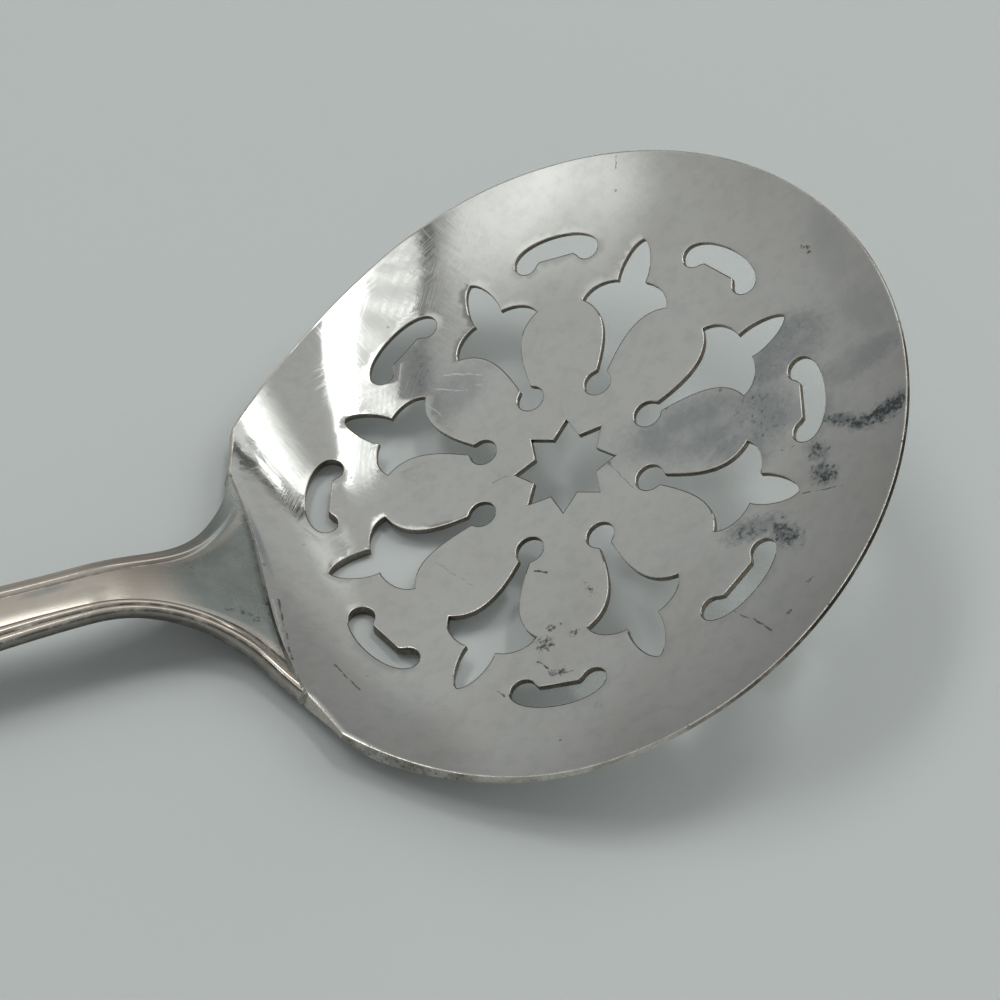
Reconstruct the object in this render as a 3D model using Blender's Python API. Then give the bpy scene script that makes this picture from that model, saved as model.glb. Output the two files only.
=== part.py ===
"""Pierced flat server: a dished, pierced round blade soldered to a threaded handle.

Metres, +Z up. The server lies as it rests on a table: +X is the blade's tip, -X the handle's end.
"""

import math

import bmesh
import bpy
from mathutils import Vector

MM = 0.001
CLEARANCE = 0.3 * MM

# Blade plan. u runs along the handle's axis toward the tip and v across it, from the pattern's centre.
RIM_RADIUS = 36.5 * MM
RIM_LEAD = 0.4 * MM
SEAM_SETBACK = 31.7 * MM
SEAM_HALF_WIDTH = 15.6 * MM

# Blade form: a shallow dish that lifts at its rim and curls up toward the handle.
BLADE_TILT = math.radians(25.8)
LENGTH_CURVE = 188.0 * MM
WIDTH_CURVE = 197.0 * MM
CURL_START = 5.4 * MM
CURL_RISE = 5.8 * MM
RIM_LIFT = 1.5 * MM
TIP_THICKNESS = 0.5 * MM
HEEL_THICKNESS = 1.9 * MM
THICKNESS_POWER = 6

# Piercings: a star, a ring of fleurs and a ring of crescents between them.
PATTERN_COUNT = 8
STAR_TIP_RADIUS = 5.64 * MM
STAR_ROOT_RADIUS = 3.72 * MM
STAR_TURN = math.radians(-2.1)
BULB_DISTANCE = 10.05 * MM
BULB_RADIUS = 1.5 * MM
STEM_HALF_WIDTH = 0.62 * MM
LEAF_DISTANCE = 19.4 * MM
LEAF_HALF_SPAN = 5.1 * MM
NOTCH_DISTANCE = 22.1 * MM
NOTCH_HALF_WIDTH = 1.65 * MM
PETAL_DISTANCE = 27.0 * MM
CRESCENT_CHORD = 25.85 * MM
CRESCENT_CREST = 28.4 * MM
CRESCENT_END_SPREAD = 3.62 * MM
CRESCENT_END_RADIUS = 1.33 * MM

# Fullness of the piercings' curves: each bend's reach along its curve and its spread across it.
STEM_SHOULDER = 1.35
LEAF_BASE_REACH, LEAF_BASE_SPREAD = 0.55, 0.08
LEAF_TIP_REACH, LEAF_TIP_SPREAD = 0.91, 0.30
LEAF_TOP_REACH, LEAF_TOP_SPREAD = 0.58, 0.96
NOTCH_REACH, NOTCH_SPREAD = 0.97, 0.62
PETAL_BASE_REACH, PETAL_BASE_SPREAD = 0.30, 1.20
PETAL_TIP_REACH, PETAL_TIP_SPREAD = 0.90, 0.75
CRESCENT_BACK_REACH, CRESCENT_BACK_SPREAD = 0.52, 0.60
CRESCENT_END_SEAT = 0.2 * MM
CRESCENT_END_INSET = 1.6 * MM
CRESCENT_END_TURN = math.radians(-65.0)

# Handle, measured along its length from the seam.
HANDLE_LENGTH = 141.0 * MM
END_ROUNDING = 15.0 * MM
NECK_HALF_WIDTH = 2.65 * MM
NECK_FLARE = 4.7 * MM
END_HALF_WIDTH = 9.2 * MM
NECK_RUN = 17.9 * MM
NECK_RISE = 6.2 * MM
NECK_START_PULL = 9.0 * MM
NECK_END_PULL = 7.0 * MM
ARCH_START_PULL = 45.0 * MM
ARCH_END_PULL = 42.0 * MM
NECK_THICKNESS = 2.6 * MM
END_THICKNESS = 1.8 * MM
END_REST = 12.0 * MM
BACK_ROUNDING = 0.4 * MM

# Threaded border: two raised threads with a groove between them, round a sunk field.
THREAD_CROWN = 0.2 * MM
THREAD_SLOPE = 0.27 * MM
THREAD_HEIGHT = 0.3 * MM
GROOVE_DEPTH = 0.18 * MM
INNER_THREAD_DROP = 0.04 * MM

# Lap joint: the blade's heel runs back as a tongue that is let into the underside of the neck.
TONGUE_LENGTH = 9.0 * MM
TONGUE_THICKNESS = 0.8 * MM
TONGUE_INSET = 1.7 * MM
TONGUE_TIP_HALF_WIDTH = 0.4 * MM
TONGUE_TIP_POWER = 4
TONGUE_ROOT = 0.8 * MM
TONGUE_LIFT = 0.15 * MM

# Silver plate, as base colour and roughness
BLADE_FINISH = ((0.62, 0.61, 0.58), 0.24)
HANDLE_FINISH = ((0.60, 0.60, 0.57), 0.28)

# Facets
RIM_STEPS = 92
FLARE_STEPS = 6
SEAM_STEPS = 12
RING_STEPS = 14
CURVE_STEPS = 6
HANDLE_STEPS = 46
END_STEPS = 9
TONGUE_STEPS = 10
NECK_CROWDING = 0.35
ARCH_SAMPLES = 240
SOLVE_STEPS = 30
PRESS_STEPS = 24
SLOPE_STEP = 0.1 * MM
MERGE_DISTANCE = 0.01 * MM
SHARP_ANGLE = math.radians(32.0)


def lerp(a, b, t):
    return a + (b - a) * t


def smooth(t):
    t = min(max(t, 0.0), 1.0)
    return t * t * (3.0 - 2.0 * t)


def bezier(p0, p1, p2, p3, t):
    q = 1.0 - t
    return p0 * q**3 + p1 * (3 * q * q * t) + p2 * (3 * q * t * t) + p3 * t**3


# The blade's top face over its plan

def dish_height(u, v):
    curl = max(0.0, -u - CURL_START) / (SEAM_SETBACK - CURL_START)
    rim = (u * u + v * v) / RIM_RADIUS**2
    return u * u / (2 * LENGTH_CURVE) + v * v / (2 * WIDTH_CURVE) + CURL_RISE * curl**3 + RIM_LIFT * rim**2


def dish_slopes(u, v):
    span = SEAM_SETBACK - CURL_START
    curl = max(0.0, -u - CURL_START) / span
    lift = 4 * RIM_LIFT * (u * u + v * v) / RIM_RADIUS**4
    return u / LENGTH_CURVE - 3 * CURL_RISE * curl**2 / span + lift * u, v / WIDTH_CURVE + lift * v


def tilted(u, v, n):
    c, s = math.cos(BLADE_TILT), math.sin(BLADE_TILT)
    return Vector((u * c - n * s, v, u * s + n * c))


def blade_thickness(u):
    share = (RIM_RADIUS + RIM_LEAD - u) / (RIM_RADIUS + RIM_LEAD + SEAM_SETBACK)
    return lerp(TIP_THICKNESS, HEEL_THICKNESS, share**THICKNESS_POWER)


def blade_point(u, v, depth):
    du, dv = dish_slopes(u, v)
    normal = Vector((-du, -dv, 1.0)).normalized()
    p = Vector((u, v, dish_height(u, v))) - normal * depth
    return tilted(*p)


# The seam between blade and handle is a plane square to the axis line where they meet

SEAM_POINT = tilted(-SEAM_SETBACK, 0.0, dish_height(-SEAM_SETBACK, 0.0))
SEAM_ALONG = tilted(-1.0, 0.0, -dish_slopes(-SEAM_SETBACK, 0.0)[0]).normalized()
SEAM_UP = Vector((SEAM_ALONG.z, 0.0, -SEAM_ALONG.x))


def seam_distance(u, v):
    return (blade_point(u, v, 0.0) - SEAM_POINT).dot(SEAM_ALONG)


def plan_at(s, v):
    """Plan position u of the blade's top face at v, a distance s behind the seam."""
    low, high = -SEAM_SETBACK - SEAM_HALF_WIDTH, 0.0
    for _ in range(SOLVE_STEPS):
        mid = (low + high) / 2
        if seam_distance(mid, v) > s:
            low = mid
        else:
            high = mid
    return (low + high) / 2


def half_width(s):
    """Half width of neck and handle at a distance s from the seam."""
    flare = (SEAM_HALF_WIDTH - NECK_HALF_WIDTH) * math.exp(-s / NECK_FLARE)
    widen = (END_HALF_WIDTH - NECK_HALF_WIDTH) * smooth(s / (HANDLE_LENGTH - END_ROUNDING))
    return NECK_HALF_WIDTH + flare + widen


def edge_spread(s):
    """Length across the handle that a unit measured square to its edge takes up."""
    slope = (half_width(s + SLOPE_STEP) - half_width(s - SLOPE_STEP)) / (2 * SLOPE_STEP)
    return math.hypot(1.0, slope)


def rim_corner():
    """Distance before the seam at which the flare of the neck runs out into the round rim."""
    low, high = -SEAM_SETBACK / 2, 0.0
    for _ in range(SOLVE_STEPS):
        mid = (low + high) / 2
        v = half_width(mid)
        if math.hypot(plan_at(mid, v) - RIM_LEAD, v) > RIM_RADIUS:
            low = mid
        else:
            high = mid
    return (low + high) / 2


def blade_outline():
    """Plan outline: round rim, two flared heel edges and the straight seam."""
    corner = rim_corner()
    v = half_width(corner)
    turn = math.atan2(v, plan_at(corner, v) - RIM_LEAD)
    points = []
    for k in range(RIM_STEPS + 1):
        a = lerp(-turn, turn, k / RIM_STEPS)
        points.append((RIM_LEAD + RIM_RADIUS * math.cos(a), RIM_RADIUS * math.sin(a)))
    for k in range(1, FLARE_STEPS + 1):
        s = lerp(corner, 0.0, k / FLARE_STEPS)
        points.append((plan_at(s, half_width(s)), half_width(s)))
    for k in range(1, SEAM_STEPS):
        v = lerp(half_width(0.0), -half_width(0.0), k / SEAM_STEPS)
        points.append((plan_at(0.0, v), v))
    for k in range(FLARE_STEPS):
        s = lerp(0.0, corner, k / FLARE_STEPS)
        points.append((plan_at(s, half_width(s)), -half_width(s)))
    return points


# Piercing outlines, each as its half on one side of its own axis: distance from centre, offset

def run(p0, p1, p2, p3):
    points = [Vector(p) for p in (p0, p1, p2, p3)]
    return [bezier(*points, k / CURVE_STEPS) for k in range(CURVE_STEPS)]


def bulb_arc(centre, offset, radius, start, end):
    """Arc about a point of the axis or beside it, from the side next to the pattern's centre."""
    arc = []
    for k in range(CURVE_STEPS + 1):
        a = lerp(start, end, k / CURVE_STEPS)
        arc.append(Vector((centre - radius * math.cos(a), offset + radius * math.sin(a))))
    return arc


def fleur_half():
    """Bulb, stem, side leaf and pointed petal."""
    shoulder = math.pi - math.asin(STEM_HALF_WIDTH / BULB_RADIUS) * STEM_SHOULDER
    stem = Vector((BULB_DISTANCE + BULB_RADIUS, STEM_HALF_WIDTH))
    leaf = Vector((LEAF_DISTANCE, LEAF_HALF_SPAN))
    notch = Vector((NOTCH_DISTANCE, NOTCH_HALF_WIDTH))
    petal = Vector((PETAL_DISTANCE, 0.0))
    shape = bulb_arc(BULB_DISTANCE, 0.0, BULB_RADIUS, 0.0, shoulder)
    base = (lerp(stem.x, leaf.x, LEAF_BASE_REACH), lerp(stem.y, leaf.y, LEAF_BASE_SPREAD))
    tip = (lerp(stem.x, leaf.x, LEAF_TIP_REACH), lerp(stem.y, leaf.y, LEAF_TIP_SPREAD))
    shape += run(stem, base, tip, leaf)
    top = (lerp(leaf.x, notch.x, LEAF_TOP_REACH), leaf.y * LEAF_TOP_SPREAD)
    fall = (lerp(leaf.x, notch.x, NOTCH_REACH), leaf.y * NOTCH_SPREAD)
    shape += run(leaf, top, fall, notch)
    swell = (lerp(notch.x, petal.x, PETAL_BASE_REACH), notch.y * PETAL_BASE_SPREAD)
    point = (lerp(notch.x, petal.x, PETAL_TIP_REACH), notch.y * PETAL_TIP_SPREAD)
    shape += run(notch, swell, point, petal)
    return shape + [petal]


def crescent_half():
    """Straight inner edge, round end lobe and bowed back."""
    lobe = CRESCENT_CHORD + CRESCENT_END_SEAT
    tip = Vector((lobe, CRESCENT_END_SPREAD + CRESCENT_END_RADIUS))
    crest = Vector((CRESCENT_CREST, 0.0))
    inner = Vector((CRESCENT_CHORD, CRESCENT_END_SPREAD - CRESCENT_END_INSET))
    end = bulb_arc(lobe, CRESCENT_END_SPREAD, CRESCENT_END_RADIUS, CRESCENT_END_TURN, math.pi / 2)
    back = (lerp(lobe, crest.x, CRESCENT_BACK_REACH), tip.y)
    bow = (crest.x, tip.y * CRESCENT_BACK_SPREAD)
    return [Vector((CRESCENT_CHORD, 0.0)), inner] + end[:-1] + run(tip, back, bow, crest) + [crest]


def mirrored(half):
    return half + [Vector((p.x, -p.y)) for p in reversed(half[1:-1])]


def turned(shape, angle):
    c, s = math.cos(angle), math.sin(angle)
    return [Vector((p.x * c - p.y * s, p.x * s + p.y * c)) for p in shape]


def star_outline():
    points = []
    for k in range(2 * PATTERN_COUNT):
        a = (k + 1) * math.pi / PATTERN_COUNT + STAR_TURN
        r = STAR_ROOT_RADIUS if k % 2 else STAR_TIP_RADIUS
        points.append(Vector((r * math.cos(a), r * math.sin(a))))
    return points


def drawn_in(a):
    """Plan position u of a point at a on the flat blank: pressing the curl draws the heel in."""
    if a > -CURL_START:
        return a
    u = -CURL_START
    step = (-CURL_START - a) / PRESS_STEPS
    for _ in range(PRESS_STEPS):
        plain = math.hypot(1.0, dish_slopes(-u, 0.0)[0])
        u -= step / (1.0 + math.hypot(1.0, dish_slopes(u, 0.0)[0]) - plain)
    return u


def piercing_outlines():
    """Regular ring pattern, as it lies once the pierced blank is pressed."""
    step = 2 * math.pi / PATTERN_COUNT
    fleur = mirrored(fleur_half())
    crescent = mirrored(crescent_half())
    shapes = [star_outline()]
    for k in range(PATTERN_COUNT):
        shapes.append(turned(fleur, math.pi + k * step))
        shapes.append(turned(crescent, math.pi + (k + 0.5) * step))
    return [[Vector((drawn_in(p.x), p.y)) for p in shape] for shape in shapes]


# Handle centre line and its bent frame: s along, v across, h above the top face's centre line

def arch_curve(rest_level):
    """Centre line of the handle's top face as samples of distance, point and direction.

    The neck rises from the seam, the arch falls to the rest level and the end lies level on it.
    """
    back = Vector((-1.0, 0.0, 0.0))
    neck = SEAM_POINT + Vector((-NECK_RUN, 0.0, NECK_RISE))
    chord = HANDLE_LENGTH - END_REST - math.hypot(NECK_RUN, NECK_RISE)
    foot = Vector((neck.x - chord, 0.0, rest_level + END_THICKNESS))
    end = foot + back * END_REST
    rise = (SEAM_POINT, SEAM_POINT + SEAM_ALONG * NECK_START_PULL, neck - back * NECK_END_PULL, neck)
    fall = (neck, neck + back * ARCH_START_PULL, foot - back * ARCH_END_PULL, foot)
    level = (foot, foot.lerp(end, 1 / 3), foot.lerp(end, 2 / 3), end)
    samples = [(0.0, SEAM_POINT, SEAM_ALONG)]
    for curve in (rise, fall, level):
        for k in range(1, ARCH_SAMPLES + 1):
            p = bezier(*curve, k / ARCH_SAMPLES)
            step = p - samples[-1][1]
            samples.append((samples[-1][0] + step.length, p, step.normalized()))
    return samples


def arch_point(arch, s, v, h):
    """Point of the bent handle; before the seam the frame runs on straight."""
    if s <= 0.0:
        centre, along = SEAM_POINT + SEAM_ALONG * s, SEAM_ALONG
    else:
        low, high = 0, len(arch) - 1
        while high - low > 1:
            mid = (low + high) // 2
            if arch[mid][0] < s:
                low = mid
            else:
                high = mid
        a, b = arch[low], arch[high]
        t = (s - a[0]) / (b[0] - a[0])
        centre, along = a[1].lerp(b[1], t), a[2].lerp(b[2], t).normalized()
    up = Vector((along.z, 0.0, -along.x))
    return centre + up * (h + cross_rise(max(s, 0.0)) * v * v) + Vector((0.0, v, 0.0))


def cross_rise(s):
    """Dishing across the neck, carried on from the blade and fading along the flare."""
    edge = blade_point(plan_at(0.0, SEAM_HALF_WIDTH), SEAM_HALF_WIDTH, 0.0) - SEAM_POINT
    return edge.dot(SEAM_UP) / SEAM_HALF_WIDTH**2 * math.exp(-s / NECK_FLARE)


def handle_thickness(s):
    """Thickness along the handle: the blade's at the seam, full at the neck and thin at the end."""
    body = lerp(NECK_THICKNESS, END_THICKNESS, smooth(s / (HANDLE_LENGTH - END_REST)))
    return body - (NECK_THICKNESS - HEEL_THICKNESS) * math.exp(-s / NECK_FLARE)


# Meshes

def make_object(name, bm, material=None):
    bmesh.ops.recalc_face_normals(bm, faces=bm.faces)
    mesh = bpy.data.meshes.new(name)
    bm.to_mesh(mesh)
    bm.free()
    obj = bpy.data.objects.new(name, mesh)
    bpy.context.collection.objects.link(obj)
    if material:
        mesh.materials.append(material)
    return obj


def as_tool(obj):
    obj.hide_render = True
    obj.display_type = "WIRE"
    return obj


def add_boolean(obj, tool, operation):
    mod = obj.modifiers.new(operation.title(), "BOOLEAN")
    mod.operation = operation
    mod.solver = "EXACT"
    mod.object = tool


def flat_plate():
    """Blade blank in its plan, one unit of depth thick, as rings about the pattern's centre."""
    outline = blade_outline()
    bm = bmesh.new()
    layers = []
    for z in (0.0, -RIM_RADIUS):
        centre = bm.verts.new((0.0, 0.0, z))
        rings = []
        for k in range(1, RING_STEPS + 1):
            rings.append([bm.verts.new((x * k / RING_STEPS, y * k / RING_STEPS, z)) for x, y in outline])
        layers.append((centre, rings))
    count = len(outline)
    for centre, rings in layers:
        for i in range(count):
            j = (i + 1) % count
            bm.faces.new((centre, rings[0][i], rings[0][j]))
            for a, b in zip(rings, rings[1:]):
                bm.faces.new((a[i], b[i], b[j], a[j]))
    top, bottom = layers[0][1][-1], layers[1][1][-1]
    for i in range(count):
        j = (i + 1) % count
        bm.faces.new((top[i], bottom[i], bottom[j], top[j]))
    return make_object("blade_blank", bm)


def piercing_punches():
    bm = bmesh.new()
    for shape in piercing_outlines():
        face = bm.faces.new([bm.verts.new((p.x, p.y, RIM_RADIUS)) for p in shape])
        extruded = bmesh.ops.extrude_face_region(bm, geom=[face])["geom"]
        moved = [g for g in extruded if isinstance(g, bmesh.types.BMVert)]
        bmesh.ops.translate(bm, verts=moved, vec=(0.0, 0.0, -3 * RIM_RADIUS))
    return make_object("piercing_punches", bm)


def evaluated_bmesh(obj):
    bm = bmesh.new()
    bm.from_object(obj, bpy.context.evaluated_depsgraph_get())
    return bm


def loft(sections):
    """Closed bar through a row of equal sections."""
    bm = bmesh.new()
    rows = [[bm.verts.new(p) for p in section] for section in sections]
    count = len(rows[0])
    for a, b in zip(rows, rows[1:]):
        for i in range(count):
            j = (i + 1) % count
            bm.faces.new((a[i], a[j], b[j], b[i]))
    bm.faces.new(rows[0])
    bm.faces.new(rows[-1])
    return bm


def tongue_bar(name, arch, grow, depth):
    """Bar of the lap tongue's plan, grown by a clearance and cut to a depth below the handle's top."""
    length = TONGUE_LENGTH + grow
    sections = []
    for k in range(TONGUE_STEPS + 1):
        s = lerp(-TONGUE_ROOT, length, math.sin(k / TONGUE_STEPS * math.pi / 2))
        along = max(s, 0.0)
        taper = math.sqrt(1.0 - (along / length) ** TONGUE_TIP_POWER)
        w = (half_width(along) - TONGUE_INSET * edge_spread(along)) * taper + TONGUE_TIP_HALF_WIDTH + grow
        top = TONGUE_THICKNESS + grow - handle_thickness(along)
        bottom = depth - handle_thickness(along)
        corners = ((-w, bottom), (w, bottom), (w, top), (-w, top))
        sections.append([arch_point(arch, s, v, h) for v, h in corners])
    return as_tool(make_object(name, loft(sections)))


def thread_levels(s):
    """Half section from the sunk field out over two threads, down the side and in along the back."""
    t = handle_thickness(s)
    inner_crown = 3 * THREAD_SLOPE + THREAD_CROWN
    return (
        (inner_crown + THREAD_CROWN + THREAD_SLOPE, -THREAD_HEIGHT),
        (inner_crown + THREAD_CROWN, -INNER_THREAD_DROP),
        (inner_crown, -INNER_THREAD_DROP),
        (inner_crown - THREAD_SLOPE, -GROOVE_DEPTH),
        (THREAD_SLOPE + THREAD_CROWN, 0.0),
        (THREAD_SLOPE, 0.0),
        (0.0, -GROOVE_DEPTH),
        (0.0, BACK_ROUNDING - t),
        (BACK_ROUNDING, -t),
    )


def handle_section(s):
    """Plan points and heights of one half section along the straight run of the handle."""
    spread = edge_spread(s)
    w = half_width(s)
    return [(s, w - e * spread, h) for e, h in thread_levels(s)]


def end_section(angle):
    """Half section at an angle round the handle's rounded end."""
    start = HANDLE_LENGTH - END_ROUNDING
    across = half_width(start)
    c, n = math.cos(angle), math.sin(angle)
    inward = Vector((-n / END_ROUNDING, -c / across)).normalized()
    rim = Vector((start + END_ROUNDING * n, across * c))
    points = []
    for e, h in thread_levels(rim.x):
        p = rim + inward * e
        points.append((p.x, max(p.y, 0.0), h))
    return points


def handle_bmesh(arch):
    start = HANDLE_LENGTH - END_ROUNDING
    halves = []
    for k in range(HANDLE_STEPS):
        share = k / HANDLE_STEPS
        halves.append(handle_section(lerp(CLEARANCE, start, lerp(share * share, share, NECK_CROWDING))))
    for k in range(END_STEPS + 1):
        halves.append(end_section(k / END_STEPS * math.pi / 2))
    sections = []
    for half in halves:
        top, back = half[0], half[-1]
        ring = [(top[0], 0.0, top[2])] + half + [(back[0], 0.0, back[2])]
        ring += [(s, -v, h) for s, v, h in reversed(half)]
        sections.append([arch_point(arch, *p) for p in ring])
    bm = loft(sections[:-1])
    bm.faces.ensure_lookup_table()
    bm.faces.remove(bm.faces[-1])
    close_end(bm, sections)
    bmesh.ops.remove_doubles(bm, verts=bm.verts, dist=MERGE_DISTANCE)
    bmesh.ops.dissolve_degenerate(bm, edges=bm.edges, dist=MERGE_DISTANCE)
    bmesh.ops.triangulate(bm, faces=bm.faces)
    return bm


def close_end(bm, sections):
    """Last strip of the rounded end, whose two halves meet on the axis."""
    bm.verts.ensure_lookup_table()
    count = len(sections[0])
    last = bm.verts[-count:]
    tip = [bm.verts.new(p) for p in sections[-1]]
    for i in range(count):
        j = (i + 1) % count
        bm.faces.new((last[i], last[j], tip[j], tip[i]))


# Materials and pieces

def metal(name, colour, roughness):
    material = bpy.data.materials.new(name)
    material.use_nodes = True
    shader = material.node_tree.nodes["Principled BSDF"]
    shader.inputs["Base Color"].default_value = (*colour, 1.0)
    shader.inputs["Metallic"].default_value = 1.0
    shader.inputs["Roughness"].default_value = roughness
    return material


def shade(obj):
    obj.data.shade_smooth()
    obj.data.set_sharp_from_angle(angle=SHARP_ANGLE)


def build_blade(material):
    """Pierce the flat blank, then press it to its dished form."""
    blank = flat_plate()
    punches = piercing_punches()
    add_boolean(blank, punches, "DIFFERENCE")
    bm = evaluated_bmesh(blank)
    bmesh.ops.triangulate(bm, faces=bm.faces)
    for vert in bm.verts:
        u, v, z = vert.co
        vert.co = blade_point(u, v, -z / RIM_RADIUS * blade_thickness(u))
    for tool in (blank, punches):
        bpy.data.objects.remove(tool)
    return make_object("pierced_blade", bm, material)


def build_handle(arch, material):
    return make_object("handle", handle_bmesh(arch), material)


def stand_on_origin(pieces):
    """Centre the part's box over the origin, with its lowest point on the ground."""
    corners = [vert.co for obj in pieces for vert in obj.data.vertices]
    low = Vector([min(c[i] for c in corners) for i in range(3)])
    high = Vector([max(c[i] for c in corners) for i in range(3)])
    shift = Vector((-(low.x + high.x) / 2, -(low.y + high.y) / 2, -low.z))
    for obj in bpy.data.objects:
        obj.location = shift


def main():
    for obj in list(bpy.data.objects):
        bpy.data.objects.remove(obj)
    blade = build_blade(metal("plated_blade", *BLADE_FINISH))
    rest_level = min(vert.co.z for vert in blade.data.vertices)
    arch = arch_curve(rest_level)
    handle = build_handle(arch, metal("plated_handle", *HANDLE_FINISH))
    tongue = tongue_bar("heel_tongue", arch, 0.0, TONGUE_LIFT)
    socket = tongue_bar("tongue_socket", arch, CLEARANCE, -NECK_THICKNESS)
    add_boolean(blade, tongue, "UNION")
    add_boolean(handle, socket, "DIFFERENCE")
    for obj in (blade, handle):
        shade(obj)
    stand_on_origin((blade, handle))


main()
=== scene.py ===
"""Pierced flat server: a dished, pierced blade of worn silver plate, soldered to a threaded handle."""

import logging
import math
from dataclasses import dataclass, field
from enum import Enum, IntEnum
from typing import Any, Callable

import bmesh
import bpy
from mathutils import Matrix, Vector
from mathutils.geometry import delaunay_2d_cdt
from mathutils.kdtree import KDTree


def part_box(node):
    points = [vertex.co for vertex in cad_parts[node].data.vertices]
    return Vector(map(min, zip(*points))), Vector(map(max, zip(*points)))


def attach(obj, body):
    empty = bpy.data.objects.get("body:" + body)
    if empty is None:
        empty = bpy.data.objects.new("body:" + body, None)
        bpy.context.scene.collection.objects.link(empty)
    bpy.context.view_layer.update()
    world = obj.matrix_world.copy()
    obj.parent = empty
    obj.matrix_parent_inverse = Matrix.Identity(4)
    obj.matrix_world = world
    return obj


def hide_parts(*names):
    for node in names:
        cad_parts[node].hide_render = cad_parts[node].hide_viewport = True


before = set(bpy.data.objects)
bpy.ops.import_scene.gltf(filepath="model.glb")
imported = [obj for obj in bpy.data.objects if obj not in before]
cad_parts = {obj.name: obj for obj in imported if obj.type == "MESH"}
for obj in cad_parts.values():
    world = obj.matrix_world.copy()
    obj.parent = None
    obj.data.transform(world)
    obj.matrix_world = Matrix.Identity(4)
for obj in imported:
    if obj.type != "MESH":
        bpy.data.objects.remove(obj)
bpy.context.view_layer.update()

LOG = logging.getLogger("flat_server")
MM = 0.001
BODY = "root"
CLEARANCE = 0.3 * MM
MERGE_DISTANCE = 0.002 * MM
SOLVE_STEPS = 30
TRIANGLES_INSIDE = 1
TRIANGLE_TOLERANCE = 1e-6

Pair = tuple[float, float]
Triple = tuple[float, float, float]
Colour = Triple
Plan = list[Vector]
Row = tuple[float, float, float, float, float, int]
Loop = list[bmesh.types.BMVert]
Finishes = list[bpy.types.Material]
Piece = bpy.types.Object
Socket = bpy.types.NodeSocket


def lerp(a: Any, b: Any, t: float) -> Any:
    """Value a share t of the way from a to b."""
    return a + (b - a) * t


def smooth(t: float) -> float:
    """Share t eased at both ends."""
    t = min(max(t, 0.0), 1.0)
    return t * t * (3.0 - 2.0 * t)


def solve(low: float, high: float, too_low: Callable[[float], bool]) -> float:
    """Turning point of a test between two values.

    Args:
        low: value that passes the test.
        high: value that fails it.
        too_low: the test.

    Returns:
        The value where the test turns.
    """
    for _ in range(SOLVE_STEPS):
        mid = (low + high) / 2
        if too_low(mid):
            low = mid
        else:
            high = mid
    return (low + high) / 2


def bezier(points: list[Vector], t: float) -> Vector:
    """Point of a cubic curve.

    Args:
        points: its start, two pulls and its end.
        t: share of the way along.

    Returns:
        The point.
    """
    q = 1.0 - t
    p0, p1, p2, p3 = points
    return p0 * q**3 + p1 * (3 * q * q * t) + p2 * (3 * q * t * t) + p3 * t**3


@dataclass(frozen=True)
class DishForm:
    """Top face of the blade over its plan: u toward the tip and v across, from the pattern's centre."""

    rim_radius: float = 36.5 * MM
    rim_lead: float = 0.4 * MM
    seam_setback: float = 31.7 * MM
    seam_half_width: float = 15.6 * MM
    tilt: float = math.radians(25.8)
    length_curve: float = 188.0 * MM
    width_curve: float = 197.0 * MM
    curl_start: float = 5.4 * MM
    curl_rise: float = 5.8 * MM
    rim_lift: float = 1.5 * MM
    tip_thickness: float = 0.5 * MM
    heel_thickness: float = 1.9 * MM
    thickness_power: int = 6

    def height(self, u: float, v: float) -> float:
        """Height of the dish over its flat plan.

        Args:
            u: place toward the tip.
            v: place across.

        Returns:
            The height.
        """
        curl = max(0.0, -u - self.curl_start) / (self.seam_setback - self.curl_start)
        rim = (u * u + v * v) / self.rim_radius**2
        bowl = u * u / (2 * self.length_curve) + v * v / (2 * self.width_curve)
        return bowl + self.curl_rise * curl**3 + self.rim_lift * rim**2

    def slopes(self, u: float, v: float) -> Pair:
        """Slopes of the dish.

        Args:
            u: place toward the tip.
            v: place across.

        Returns:
            Rise along u and along v.
        """
        span = self.seam_setback - self.curl_start
        curl = max(0.0, -u - self.curl_start) / span
        lift = 4 * self.rim_lift * (u * u + v * v) / self.rim_radius**4
        along = u / self.length_curve - 3 * self.curl_rise * curl**2 / span + lift * u
        return along, v / self.width_curve + lift * v

    def tilted(self, u: float, v: float, n: float) -> Vector:
        """Plan point and height, with the blade tilted as it lies on the table."""
        c, s = math.cos(self.tilt), math.sin(self.tilt)
        return Vector((u * c - n * s, v, u * s + n * c))

    def thickness(self, u: float) -> float:
        """Thickness of the plate, fullest at the heel.

        Args:
            u: place toward the tip.

        Returns:
            The thickness.
        """
        reach = self.rim_radius + self.rim_lead
        share = (reach - u) / (reach + self.seam_setback)
        return lerp(self.tip_thickness, self.heel_thickness, share**self.thickness_power)

    def point(self, u: float, v: float, depth: float) -> Vector:
        """Point of the blade.

        Args:
            u: place toward the tip.
            v: place across.
            depth: how far below the face.

        Returns:
            The point.
        """
        du, dv = self.slopes(u, v)
        normal = Vector((-du, -dv, 1.0)).normalized()
        return self.tilted(*(Vector((u, v, self.height(u, v))) - normal * depth))

    def origin(self) -> Vector:
        """Finds the pattern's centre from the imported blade's tip.

        Returns:
            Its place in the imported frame.
        """
        tip = self.rim_lead + self.rim_radius
        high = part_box("pierced_blade")[1]
        reach, rise = self.point(tip, 0.0, self.tip_thickness), self.point(tip, 0.0, 0.0)
        return Vector((high.x - reach.x, 0.0, high.z - rise.z))


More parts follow.
